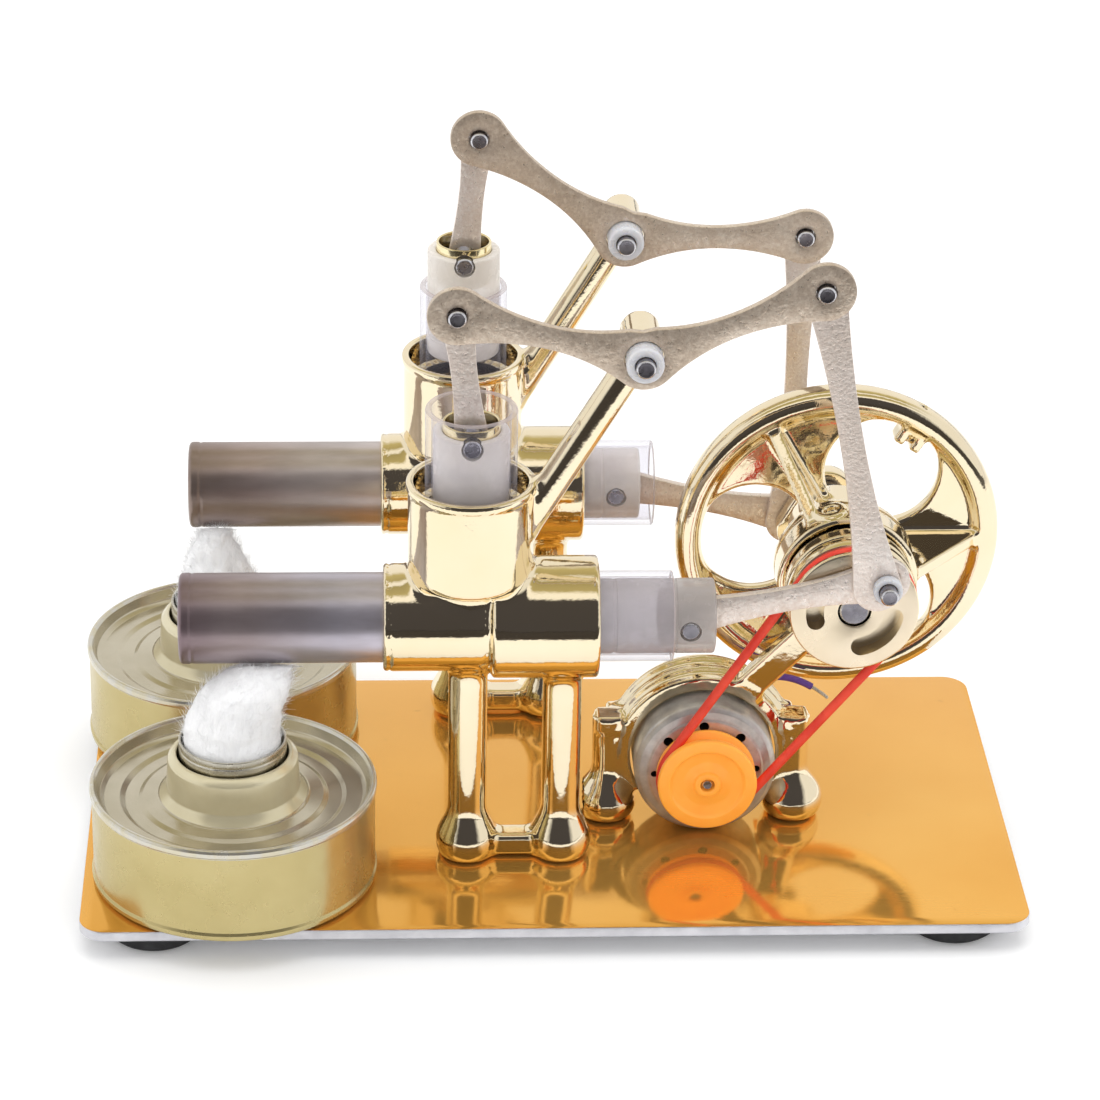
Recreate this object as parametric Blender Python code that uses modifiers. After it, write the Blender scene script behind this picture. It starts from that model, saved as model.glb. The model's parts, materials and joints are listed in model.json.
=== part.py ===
"""Twin-cylinder hot-air engine model with a belt-driven generator.

Frame: metres, +Z up, X to the right, +Y to the rear.  The origin is under the middle of
the whole object, on the plane the rubber feet stand on.

Dimensions are millimetres, turned into metres by MM.  Locations count X and Y from the
base plate's middle and heights from its upper face; place() moves them into the frame.
A profile is a list of (radius, distance along the axis) points.  Distances along an axis
run to the right, to the rear or up.  Points of linkage and outlines are (X, height).
"""
import math

import bmesh
import bpy
from mathutils import Vector

MM = 0.001
GAP = 0.3                     # working gap between neighbouring solids

# ---------------------------------------------------------------- base
PLATE_X, PLATE_Y, PLATE_T = 159.5, 87.0, 2.0
PLATE_CORNER_R = 4.5
FOOT_R, FOOT_H, FOOT_EDGE = 8.0, 3.2, (0.5, 0.6)   # edge: chamfer's radial and upright size
FOOT_IN_X, FOOT_IN_Y = 12.4, 9.5                   # foot middles in from the plate's edges
TOP = FOOT_H + PLATE_T
# The burners stand over the plate's edge, so the whole object's middle is off the plate's.
MIDDLE_X, MIDDLE_Y = -0.825, 1.5

# ---------------------------------------------------------------- cylinder units
UNIT_Y = {"front": -18.5, "rear": 32.6}
AXIS_Z = 45.6                 # hot (horizontal) cylinder axis
COLD_X = -14.4                # cold (upright) cylinder axis
BARREL_LEFT, BARREL_RIGHT, BARREL_STEP = -28.9, 7.0, -11.0
BARREL_LEFT_R, BARREL_RIGHT_R = 9.1, 10.3          # either side of the step
BARREL_CHAMFER = 0.5
UPRIGHT_R, UPRIGHT_RIM_R, UPRIGHT_TOP = 10.4, 10.75, 71.0
LEG_X, LEG_R, LEG_TOP = (-14.6, 1.3), 3.3, 40.0
DOME_R = 5.3                  # domed feet of the legs and columns
WEB_SIZE, WEB_LIFT = (12.0, 4.4, 3.7), 0.15        # web between the legs
ARM_START = (-7.2, 59.6)      # lower end of the arm that carries the beam pivot
ARM_LOW_R, ARM_HIGH_R, ARM_FLATTEN = 2.8, 2.6, 0.82
HEATER_R, HEATER_WALL, HEATER_END, HEATER_IN = 7.6, 0.6, -62.8, -18.3
GLASS_R, GLASS_WALL = 7.6, 1.0
HOT_GLASS = (-1.2, 19.5)      # left and right ends
COLD_GLASS = (57.8, 84.0)     # lower and upper ends
PISTON_R = 6.3
PIN_R = 1.5                   # link pins
PISTON_PIN_R = PIN_R + 0.1
PISTON_PIN_HALF, PISTON_PIN_BORE_HALF = 5.9, 8.0   # half lengths
PIVOT_R = 1.6

# ---------------------------------------------------------------- linkage
PIVOT = (13.2, 94.6)          # beam pivot
BEAM_ARM = 31.1               # pivot to end pin
BEAM_RISE = math.radians(17.9)                     # each arm's rise from the level
SHAFT = (50.2, 45.7)
CRANK_R, CRANK_ANGLE = 8.0, math.radians(54.0)
CRANK_LINK_L, HOT_ROD_L, COLD_LINK_L = 55.5, 33.4, 23.2
BIG_END_OFFSET = 1.6          # the crank pin sits this far off the big end's middle
SHEET_T = 1.5                 # beam and link plate thickness
# Y of each plate's middle from its unit's cylinder plane
BEAM_LAYER, CRANK_LINK_LAYER, COLD_LINK_LAYER, ROD_LAYER = -4.3, -2.4, -1.5, -0.45
BEAM_HUB_R, BEAM_END_R, BEAM_NECK = 5.3, 4.9, 1.95
BEAM_CROWN = 5.15             # height of the beam's top edge above the pivot
BEAM_CROWN_HALF = 0.8         # arm edge points nearer the middle than this are left out
LINK_HOLE_R = 2.4             # loose hole at a rod's or cold link's far end
ROD_SMALL_HOLE_R = 2.3
FILLET_STEPS, LOBE_STEPS = 3, 7
# front and rear ends of the crank pins and of the bushes on them; the bush is in front
# of the rods in the front unit and behind them in the rear one
CRANK_PIN_ENDS = {"front": (-7.15, 0.35), "rear": (-3.15, 4.2)}
CRANK_BUSH_ENDS = {"front": (-5.0, -3.45), "rear": (0.6, 2.2)}
CRANK_BUSH_R = 2.45

# ---------------------------------------------------------------- shaft line
SHAFT_R, SHAFT_FRONT, SHAFT_REAR = 2.5, -17.85, 29.1
SHAFT_BORE_R = SHAFT_R + GAP
PULLEY_R, PULLEY_FRONT, PULLEY_REAR = 10.9, SHAFT_FRONT, -12.0
PULLEY_GROOVE_R = 8.8
SLOT_IN_R, SLOT_OUT_R, SLOT_DEPTH = 5.0, 8.4, 3.6
SLOT_ANGLES = ((-78.0, -10.0), (120.0, 198.0))     # degrees from +X towards +Z
CUT_OVER = 2.0                # cutters stand this far out of the face they enter
REAR_ARM_FRONT, REAR_ARM_BOSS_R, REAR_ARM_EYE_R = 25.6, 5.0, 4.0
WHEEL_R, WHEEL_Y = 28.2, 11.6
RIM_HALF_RADIAL, RIM_HALF_AXIAL = 2.1, 3.0
WEB_HALF, WEB_INNER_R = 1.2, 8.0                   # flywheel web
WHEEL_HOLE_R, WHEEL_HOLE_PITCH_R, WHEEL_HOLE_HALF = 9.8, 14.5, 4.0
HUB_R, NECK_R, HUB_FRONT, HUB_REAR = 12.0, 8.2, -7.0, 14.6
HUB_HOLLOW_R, HUB_HOLLOW_REAR = 7.2, 2.2
GUSSET_T = 2.4
LUG_R, LUG_ENDS, LUG_ANGLE = 2.5, (20.8, 25.6), math.radians(58.0)
BELT_Y, BELT_R = -15.6, 0.8
GROOVE_HALF = 1.4             # half width of both belt grooves
CRANK_BELT_R, MOTOR_BELT_R = 10.2, 7.9             # belt centre line radii

# ---------------------------------------------------------------- motor and bracket
MOTOR = (26.55, 12.5)         # motor axis
CAN_R, CAN_FRONT, CAN_REAR = 12.2, -13.2, -0.9
VENT_R, VENT_PITCH_R, VENT_DEPTH, VENT_COUNT, VENT_START = 0.8, 8.8, 1.6, 8, 3.0
MOTOR_PULLEY_R, MOTOR_PULLEY_FRONT, MOTOR_PULLEY_REAR = 8.5, -18.2, -13.6
MOTOR_GROOVE_R = 6.5
MOTOR_SHAFT_R = 1.0
MOTOR_BORE_R = MOTOR_SHAFT_R + GAP
COLUMN_DX, COLUMN_Y, COLUMN_R, COLUMN_TOP = (-16.6, 16.0), -5.4, 2.4, 18.6
SHOE_R = CAN_R + 0.4          # horseshoe's inner radius
SHOE_FRONT, SHOE_REAR = COLUMN_Y - 2.2, COLUMN_Y + 7.4
SHOE_CUT_SIZE, SHOE_CUT_TOP = (44.0, 20.0, 20.0), 5.0
STRUT_START = (31.6, 22.6)    # the strut's line runs from here to the shaft's middle
STRUT_NEAR, STRUT_SHORT = 2.8, 7.6                 # its ends lie this far inside that line's
STRUT_X, STRUT_T, STRUT_Y, STRUT_LEAN = 4.8, 3.2, -9.8, 3.4
BEARING_R, BEARING_HOLE_R = 5.0, 5.3
BEARING_FRONT, BEARING_REAR = -11.0, 1.2
LEAD_R, LEAD_STEPS = 0.55, 12

# ---------------------------------------------------------------- burners
BURNER = {"front": (-54.15, -23.7), "rear": (-57.2, 26.7)}   # X, Y
BURNER_R, BURNER_H, LID_Z, BURNER_FLOOR_T = 24.2, 17.8, 15.0, 0.5
NECK_TOP = 23.3
SLEEVE_R, SLEEVE_WALL, SLEEVE_LOW, SLEEVE_TOP = 9.2, 0.5, 9.0, 25.8
WICK_LOW, WICK_RINGS, WICK_SEGMENTS, WICK_MIN_R = 4.0, 9, 12, 0.9
WICK_LEAN_POWER = 1.4
# side: radius in the sleeve, top, lean of the tip to +X, and the two powers of the
# taper (1 - t ** inner) ** outer, t running from 0 at the sleeve's top to 1 at the tip
WICK = {"front": (8.2, 38.6, 7.5, 2.2, 0.62),
        "rear": (7.6, 39.6, 1.5, 1.25, 0.8)}

ALONG_X = (0.0, math.pi / 2, 0.0)
ALONG_Y = (-math.pi / 2, 0.0, 0.0)
ALONG_Z = (0.0, 0.0, 0.0)

for old in list(bpy.data.objects):
    bpy.data.objects.remove(old, do_unlink=True)


def collection(name):
    found = bpy.data.collections.get(name) or bpy.data.collections.new(name)
    if name not in bpy.context.scene.collection.children:
        bpy.context.scene.collection.children.link(found)
    return found


PARTS = collection("hot_air_engine")
CUTTERS = collection("cutters")
CUTTERS.hide_render = True


# ---------------------------------------------------------------- materials
def material(name, color, roughness, metallic, transmission=0.0, viewport_alpha=1.0):
    mat = bpy.data.materials.get(name) or bpy.data.materials.new(name)
    mat.use_nodes = True
    inputs = mat.node_tree.nodes["Principled BSDF"].inputs
    inputs["Base Color"].default_value = (*color, 1.0)
    inputs["Roughness"].default_value = roughness
    inputs["Metallic"].default_value = metallic
    inputs["Transmission Weight"].default_value = transmission
    mat.diffuse_color = (*color, viewport_alpha)
    return mat


GOLD_PLATE = material("polished_gold_plate", color=(0.86, 0.46, 0.07), roughness=0.12, metallic=1.0)
CASTING = material("gold_chrome_casting", color=(0.93, 0.80, 0.50), roughness=0.10, metallic=1.0)
SHEET = material("satin_brass_sheet", color=(0.72, 0.60, 0.40), roughness=0.38, metallic=1.0)
TUBE = material("tinted_steel_tube", color=(0.36, 0.29, 0.27), roughness=0.30, metallic=1.0)
GLASS = material("clear_glass", color=(0.95, 0.97, 0.97), roughness=0.03, metallic=0.0,
                 transmission=0.95, viewport_alpha=0.4)
NYLON = material("natural_nylon", color=(0.86, 0.84, 0.78), roughness=0.35, metallic=0.0,
                 transmission=0.3)
STEEL = material("dark_steel_pin", color=(0.22, 0.21, 0.23), roughness=0.30, metallic=1.0)
ZINC = material("zinc_steel_can", color=(0.55, 0.54, 0.52), roughness=0.35, metallic=1.0)
ORANGE = material("orange_plastic", color=(0.95, 0.42, 0.04), roughness=0.40, metallic=0.0)
RUBBER = material("black_rubber", color=(0.03, 0.03, 0.03), roughness=0.75, metallic=0.0)
RED_RUBBER = material("red_belt_rubber", color=(0.85, 0.08, 0.04), roughness=0.50, metallic=0.0)
PURPLE = material("purple_lead", color=(0.20, 0.10, 0.40), roughness=0.45, metallic=0.0)
TINPLATE = material("lacquered_tinplate", color=(0.62, 0.55, 0.28), roughness=0.38, metallic=0.9)
SLEEVE = material("wick_sleeve_steel", color=(0.60, 0.58, 0.52), roughness=0.30, metallic=1.0)
COTTON = material("white_cotton", color=(0.93, 0.92, 0.90), roughness=0.95, metallic=0.0)
BEARING = material("bearing_steel", color=(0.62, 0.62, 0.62), roughness=0.25, metallic=1.0)


# ---------------------------------------------------------------- object helpers
def register(name, data, mat):
    """Make an object of the data; one without a material is a hidden Boolean helper."""
    obj = bpy.data.objects.new(name, data)
    if mat is None:
        CUTTERS.objects.link(obj)
        obj.hide_render = True
        obj.display_type = "WIRE"
    else:
        data.materials.append(mat)
        PARTS.objects.link(obj)
    return obj


def place(obj, location, rotation=ALONG_Z):
    x, y, z = location
    obj.location = ((x - MIDDLE_X) * MM, (y - MIDDLE_Y) * MM, (z + TOP) * MM)
    obj.rotation_euler = rotation
    return obj


def at(point, y):
    """Location of an (X, height) point in the plane at y."""
    return (point[0], y, point[1])


def from_bmesh(name, bm, mat=None):
    mesh = bpy.data.meshes.new(name)
    bm.to_mesh(mesh)
    bm.free()
    return register(name, mesh, mat)


def block_bmesh(size):
    bm = bmesh.new()
    bmesh.ops.create_cube(bm, size=1.0)
    bmesh.ops.scale(bm, vec=Vector(size) * MM, verts=bm.verts)
    return bm


def box_helper(name, size, location, rotation=ALONG_Z):
    return place(from_bmesh(name, block_bmesh(size)), location, rotation)


def signed_area(points):
    pairs = zip(points, points[1:] + points[:1])
    return sum(x0 * y1 - x1 * y0 for (x0, y0), (x1, y1) in pairs) / 2


def turned(name, profile, mat, location, rotation, steps):
    """Screw a profile round its axis.

    The profile is open where both ends sit on the axis and closed otherwise; it is
    turned round where needed so that it runs down its outer side.
    """
    points = list(profile)
    if signed_area(points) > 0:
        points.reverse()
    edges = [(i, i + 1) for i in range(len(points) - 1)]
    if points[0][0] > 1e-6 or points[-1][0] > 1e-6:
        edges.append((len(points) - 1, 0))
    mesh = bpy.data.meshes.new(name)
    mesh.from_pydata([(radius * MM, 0.0, along * MM) for radius, along in points], edges, [])
    obj = register(name, mesh, mat)
    screw = obj.modifiers.new("turn", "SCREW")
    screw.axis = "Z"
    screw.angle = 2 * math.pi
    screw.steps = steps
    screw.render_steps = steps
    screw.use_merge_vertices = True
    screw.merge_threshold = 0.00001
    screw.use_smooth_shade = True
    return place(obj, location, rotation)


def rod(name, radius, low, high, mat, location, steps, rotation=ALONG_Y, chamfer=0.0):
    """A solid round pin from low to high along its axis."""
    if chamfer:
        profile = [(0.0, high), (radius - chamfer, high), (radius, high - chamfer),
                   (radius, low + chamfer), (radius - chamfer, low), (0.0, low)]
    else:
        profile = [(0.0, high), (radius, high), (radius, low), (0.0, low)]
    return turned(name, profile, mat, location, rotation, steps)


def tube(name, inner, outer, low, high, mat, location, rotation, steps):
    """A plain tube open at both ends."""
    profile = [(inner, high), (outer, high), (outer, low), (inner, low)]
    return turned(name, profile, mat, location, rotation, steps)


def boolean(obj, helper, operation):
    mod = obj.modifiers.new(helper.name[:20], "BOOLEAN")
    mod.operation = operation
    mod.solver = "EXACT"
    mod.object = helper


def add(obj, helper):
    boolean(obj, helper, "UNION")


def cut(obj, helper):
    boolean(obj, helper, "DIFFERENCE")


def smooth(obj, angle):
    obj.data.shade_smooth()
    obj.data.set_sharp_from_angle(angle=math.radians(angle))


# ---------------------------------------------------------------- flat outlines
def arc(x, z, radius, start, end, steps):
    angles = [start + (end - start) * i / steps for i in range(steps + 1)]
    return [(x + radius * math.cos(a), z + radius * math.sin(a)) for a in angles]


def rotate_points(points, angle):
    c, s = math.cos(angle), math.sin(angle)
    return [(x * c - z * s, x * s + z * c) for x, z in points]


def mirrored_down(points):
    return [(x, -z) for x, z in points]


def bar_edge(length, start_r, end_r, neck):
    """Upper edge of a bar along +X between two round lobes, waisted to half-width neck.

    Returns the edge and the angles at which it leaves the start lobe and meets the end one.
    """
    span = length / 2

    def fillet(lobe_r):
        """Radius that joins a lobe to the neck over half the bar, and its tangent angle."""
        radius = (span * span / (lobe_r - neck) - lobe_r - neck) / 2
        return radius, math.atan2(neck + radius, span)

    start_fillet, start_tangent = fillet(start_r)
    end_fillet, end_tangent = fillet(end_r)
    down = 1.5 * math.pi
    edge = arc(span, neck + start_fillet, start_fillet, start_tangent + math.pi, down, FILLET_STEPS)
    edge += arc(span, neck + end_fillet, end_fillet, down, 2 * math.pi - end_tangent,
                FILLET_STEPS)[1:]
    return edge, start_tangent, math.pi - end_tangent


def bar(length, start_r, end_r, neck):
    """Closed outline of a bar along +X from a lobe at 0 to a lobe at length."""
    top, start_angle, end_angle = bar_edge(length, start_r, end_r, neck)
    outline = top + arc(length, 0.0, end_r, end_angle, -end_angle, LOBE_STEPS)[1:-1]
    outline += mirrored_down(reversed(top))
    outline += arc(0.0, 0.0, start_r, -start_angle, start_angle - 2 * math.pi, LOBE_STEPS)[1:-1]
    return outline


def plate(name, outline, holes, thickness, mat, location):
    """Flat plate across Y; outline and (x, z, radius) holes are given about its origin."""
    curve = bpy.data.curves.new(name, "CURVE")
    curve.dimensions = "2D"
    curve.fill_mode = "BOTH"
    curve.extrude = thickness * MM / 2
    curve.resolution_u = 1
    curve.render_resolution_u = 0
    loops = [outline] + [arc(x, z, radius, 0.0, -2 * math.pi, 10)[:-1] for x, z, radius in holes]
    for loop in loops:
        add_spline(curve, [(x, z, 0.0) for x, z in loop], closed=True)
    # Booleans need a welded mesh, so the filled curve only serves as a source.
    source = bpy.data.objects.new(name, curve)
    PARTS.objects.link(source)
    bpy.context.view_layer.update()
    depsgraph = bpy.context.evaluated_depsgraph_get()
    mesh = bpy.data.meshes.new_from_object(source.evaluated_get(depsgraph))
    bpy.data.objects.remove(source, do_unlink=True)
    bm = bmesh.new()
    bm.from_mesh(mesh)
    bmesh.ops.remove_doubles(bm, verts=bm.verts, dist=1e-6)
    bmesh.ops.recalc_face_normals(bm, faces=bm.faces)
    bm.to_mesh(mesh)
    bm.free()
    obj = place(register(name, mesh, mat), location, (math.pi / 2, 0.0, 0.0))
    smooth(obj, 35.0)
    return obj


def add_spline(curve, points, closed):
    spline = curve.splines.new("POLY")
    spline.points.add(len(points) - 1)
    for point, (x, y, z) in zip(spline.points, points):
        point.co = (x * MM, y * MM, z * MM, 1.0)
    spline.use_cyclic_u = closed


def cord(name, points, radius, mat, location, closed):
    """Round cord along a path; an open one gets end caps."""
    curve = bpy.data.curves.new(name, "CURVE")
    curve.dimensions = "3D"
    curve.bevel_depth = radius * MM
    curve.bevel_resolution = 1
    curve.use_fill_caps = not closed
    curve.resolution_u = 1
    curve.render_resolution_u = 0
    add_spline(curve, points, closed)
    place(register(name, curve, mat), location)


# ---------------------------------------------------------------- linkage geometry
def circles_meet(first, first_r, second, second_r):
    """Right-hand meeting point of two circles, the second's centre being the lower."""
    dx, dz = second[0] - first[0], second[1] - first[1]
    distance = math.hypot(dx, dz)
    along = (first_r ** 2 - second_r ** 2 + distance ** 2) / (2 * distance)
    across = math.sqrt(first_r ** 2 - along ** 2)
    return (first[0] + (along * dx - across * dz) / distance,
            first[1] + (along * dz + across * dx) / distance)


def linkage(side):
    """Pin positions of one unit and the beam's rocking angle at rest."""
    turn = CRANK_ANGLE + (0.0 if side == "front" else math.pi)
    crank = (SHAFT[0] + CRANK_R * math.cos(turn), SHAFT[1] + CRANK_R * math.sin(turn))
    right = circles_meet(PIVOT, BEAM_ARM, crank, CRANK_LINK_L)
    rock = math.atan2(right[1] - PIVOT[1], right[0] - PIVOT[0]) - BEAM_RISE
    left_angle = math.pi - BEAM_RISE + rock
    left = (PIVOT[0] + BEAM_ARM * math.cos(left_angle), PIVOT[1] + BEAM_ARM * math.sin(left_angle))
    hot = (crank[0] - math.sqrt(HOT_ROD_L ** 2 - (crank[1] - AXIS_Z) ** 2), AXIS_Z)
    cold = (COLD_X, left[1] - math.sqrt(COLD_LINK_L ** 2 - (left[0] - COLD_X) ** 2))
    return {"crank": crank, "right": right, "left": left, "rock": rock, "hot": hot, "cold": cold}


# ---------------------------------------------------------------- base plate and feet
def make_base_plate():
    bm = block_bmesh((PLATE_X, PLATE_Y, PLATE_T))
    upright = [e for e in bm.edges if abs(e.verts[0].co.z - e.verts[1].co.z) > 1e-5]
    bmesh.ops.bevel(bm, geom=upright, offset=PLATE_CORNER_R * MM, segments=6, profile=0.5,
                    affect="EDGES")
    place(from_bmesh("base_plate", bm, GOLD_PLATE), (0.0, 0.0, -PLATE_T / 2))


def make_feet():
    top = FOOT_H - GAP
    edge_in, edge_up = FOOT_EDGE
    profile = [(0.0, top), (FOOT_R, top), (FOOT_R, edge_up), (FOOT_R - edge_in, 0.0), (0.0, 0.0)]
    for x_sign, x_name in ((-1, "left"), (1, "right")):
        for y_sign, y_name in ((-1, "front"), (1, "rear")):
            x = x_sign * (PLATE_X / 2 - FOOT_IN_X)
            y = y_sign * (PLATE_Y / 2 - FOOT_IN_Y)
            turned(f"foot_{y_name}_{x_name}", profile, RUBBER, (x, y, -TOP), ALONG_Z, 16)


# ---------------------------------------------------------------- cylinder blocks
def domed_leg(name, x, y, radius, top):
    profile = [(0.0, top), (radius, top), (radius, 10.0), (DOME_R - 0.6, 6.2), (DOME_R, 3.2),
               (DOME_R - 0.9, GAP), (0.0, GAP)]
    return turned(name, profile, None, (x, y, 0.0), ALONG_Z, 12)


def pivot_arm(name, y):
    """Flattened cone from the upright to the pivot boss."""
    dx, dz = PIVOT[0] - ARM_START[0], PIVOT[1] - ARM_START[1]
    bm = bmesh.new()
    bmesh.ops.create_cone(bm, cap_ends=True, cap_tris=False, segments=12, radius1=ARM_LOW_R * MM,
                          radius2=ARM_HIGH_R * MM, depth=math.hypot(dx, dz) * MM)
    bmesh.ops.scale(bm, vec=(1.0, ARM_FLATTEN, 1.0), verts=bm.verts)
    middle = (ARM_START[0] + dx / 2, y, ARM_START[1] + dz / 2)
    return place(from_bmesh(name, bm), middle, (0.0, math.atan2(dx, dz), 0.0))


def make_block(side):
    y = UNIT_Y[side]
    tag = side + "_c_"
    hot_axis, cold_axis, pivot = (0.0, y, AXIS_Z), (COLD_X, y, 0.0), at(PIVOT, y)
    left, right, chamfer = BARREL_LEFT, BARREL_RIGHT, BARREL_CHAMFER
    barrel = [(0.0, right), (BARREL_RIGHT_R - chamfer, right), (BARREL_RIGHT_R, right - chamfer),
              (BARREL_RIGHT_R, BARREL_STEP + 0.3), (BARREL_LEFT_R, BARREL_STEP - 0.6),
              (BARREL_LEFT_R, left + chamfer), (BARREL_LEFT_R - chamfer, left), (0.0, left)]
    block = turned(f"{side}_cylinder_block", barrel, CASTING, hot_axis, ALONG_X, 22)

    upright = [(0.0, UPRIGHT_TOP), (UPRIGHT_RIM_R - 0.5, UPRIGHT_TOP),
               (UPRIGHT_RIM_R, UPRIGHT_TOP - 0.5), (UPRIGHT_RIM_R, 69.6), (UPRIGHT_R, 69.2),
               (UPRIGHT_R, 54.4), (9.3, 53.3), (7.2, 51.6), (5.6, 47.0), (0.0, 47.0)]
    add(block, turned(tag + "upright", upright, None, cold_axis, ALONG_Z, 22))
    for i, x in enumerate(LEG_X):
        add(block, domed_leg(f"{tag}leg{i}", x, y, LEG_R, LEG_TOP))
    web_middle = (sum(LEG_X) / 2, y, GAP + WEB_LIFT + WEB_SIZE[2] / 2)
    add(block, box_helper(tag + "web", WEB_SIZE, web_middle))
    add(block, pivot_arm(tag + "arm", y))
    boss = [(0.0, 7.8), (2.9, 7.8), (3.3, 7.4), (3.3, -2.8), (2.9, -3.2), (0.0, -3.2)]
    add(block, turned(tag + "boss", boss, None, pivot, ALONG_Y, 14))

    heater_seat, glass_seat = HEATER_R + GAP, GLASS_R + GAP
    hot_bore = [(0.0, -31.0), (heater_seat, -31.0), (heater_seat, -18.0), (6.9, -18.0),
                (6.9, -1.5), (glass_seat, -1.5), (glass_seat, 9.0), (0.0, 9.0)]
    cut(block, turned(tag + "hot_bore", hot_bore, None, hot_axis, ALONG_X, 22))
    cold_bore = [(0.0, 73.0), (9.45, 73.0), (9.45, 66.0), (glass_seat, 66.0),
                 (glass_seat, 57.5), (6.6, 57.5), (6.6, 46.2), (0.0, 46.2)]
    cut(block, turned(tag + "cold_bore", cold_bore, None, cold_axis, ALONG_Z, 22))
    cut(block, rod(tag + "pivot_bore", PIVOT_R + GAP, -5.0, 6.3, None, pivot, 14))


# ---------------------------------------------------------------- tubes and pistons
def make_tubes(side):
    y = UNIT_Y[side]
    end, radius = HEATER_END, HEATER_R
    inner = radius - HEATER_WALL
    # heater tube, closed and chamfered at its left end
    profile = [(0.0, end), (radius - 1.0, end), (radius, end + 1.0), (radius, HEATER_IN),
               (inner, HEATER_IN), (inner, end + 1.2), (inner - 0.8, end + HEATER_WALL),
               (0.0, end + HEATER_WALL)]
    turned(f"{side}_heater_tube", profile, TUBE, (0.0, y, AXIS_Z), ALONG_X, 22)
    tube(f"{side}_hot_cylinder", GLASS_R - GLASS_WALL, GLASS_R, *HOT_GLASS, GLASS,
         (0.0, y, AXIS_Z), ALONG_X, 22)
    tube(f"{side}_cold_cylinder", GLASS_R - GLASS_WALL, GLASS_R, *COLD_GLASS, GLASS,
         (COLD_X, y, 0.0), ALONG_Z, 22)


def make_piston(side, kind, profile, location, rotation):
    """Piston with its cross pin; its profile counts from the pin's middle."""
    piston = turned(f"{side}_{kind}_piston", profile, NYLON, location, rotation, 22)
    cut(piston, rod(f"{side}_c_{kind}_pin_bore", PISTON_PIN_R + GAP, -PISTON_PIN_BORE_HALF,
                    PISTON_PIN_BORE_HALF, None, location, 14))
    rod(f"{side}_{kind}_piston_pin", PISTON_PIN_R, -PISTON_PIN_HALF, PISTON_PIN_HALF, STEEL,
        location, 12)


def make_pistons(side, pins):
    hot, cold = at(pins["hot"], UNIT_Y[side]), at(pins["cold"], UNIT_Y[side])
    hot_profile = [(0.0, -15.7), (PISTON_R, -15.7), (PISTON_R, 4.3), (4.7, 4.3), (4.7, -5.2),
                   (0.0, -5.2)]
    make_piston(side, "hot", hot_profile, hot, ALONG_X)
    # displacer to the left of the hot piston, with a thin stem towards it
    displacer = [(0.0, -70.6), (5.8, -70.6), (6.3, -70.0), (6.3, -44.6), (5.8, -44.0),
                 (1.2, -44.0), (1.2, -16.1), (0.0, -16.1)]
    turned(f"{side}_displacer", displacer, BEARING, hot, ALONG_X, 16)
    # the cold piston carries a raised cup
    cold_profile = [(0.0, -4.6), (4.3, -4.6), (4.3, 2.6), (4.8, 2.6), (4.8, 1.1),
                    (PISTON_R, 1.1), (PISTON_R, -18.0), (0.0, -18.0)]
    make_piston(side, "cold", cold_profile, cold, ALONG_Z)


# ---------------------------------------------------------------- links and beam
def make_link(name, y, start, end, lobe_radii, neck, hole_radii, far_hole=None):
    """Bar from start to end; its far hole is at the end unless given elsewhere."""
    dx, dz = end[0] - start[0], end[1] - start[1]
    outline = rotate_points(bar(math.hypot(dx, dz), *lobe_radii, neck), math.atan2(dz, dx))
    far = far_hole or end
    holes = [(0.0, 0.0, hole_radii[0]), (far[0] - start[0], far[1] - start[1], hole_radii[1])]
    plate(name, outline, holes, SHEET_T, SHEET, at(start, y))


def make_links(side, pins):
    y = UNIT_Y[side]
    crank, right = pins["crank"], pins["right"]
    pin_hole = PIN_R + GAP
    make_link(f"{side}_hot_con_rod", y + ROD_LAYER, pins["hot"], crank,
              lobe_radii=(3.4, 4.1), neck=2.15, hole_radii=(ROD_SMALL_HOLE_R, LINK_HOLE_R))
    make_link(f"{side}_cold_link", y + COLD_LINK_LAYER, pins["left"], pins["cold"],
              lobe_radii=(3.3, 2.9), neck=2.0, hole_radii=(pin_hole, LINK_HOLE_R))
    # the crank link's big end has its middle a little to the left of the crank pin
    line = math.atan2(crank[1] - right[1], crank[0] - right[0])
    big_end = (crank[0] + BIG_END_OFFSET * math.sin(line),
               crank[1] - BIG_END_OFFSET * math.cos(line))
    make_link(f"{side}_crank_link", y + CRANK_LINK_LAYER, right, big_end,
              lobe_radii=(3.6, 4.1), neck=1.95, hole_radii=(pin_hole, pin_hole), far_hole=crank)


def beam_outline():
    """Level beam about its pivot: two rising arms on a round hub."""
    edge, _, end_angle = bar_edge(BEAM_ARM, BEAM_HUB_R, BEAM_END_R, BEAM_NECK)
    upper = [p for p in rotate_points(edge, BEAM_RISE) if p[0] > BEAM_CROWN_HALF]
    lower = rotate_points(mirrored_down(edge), BEAM_RISE)
    lobe = arc(BEAM_ARM, 0.0, BEAM_END_R, end_angle, -end_angle, LOBE_STEPS)[1:-1]
    right = upper + rotate_points(lobe, BEAM_RISE) + lower[::-1]
    sole_end = math.atan2(lower[0][1], lower[0][0])
    sole = arc(0.0, 0.0, BEAM_HUB_R, -math.pi - sole_end, sole_end, 4)[1:-1]
    left = [(-x, z) for x, z in reversed(right)]
    return [(0.0, BEAM_CROWN)] + right + sole[::-1] + left


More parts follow.
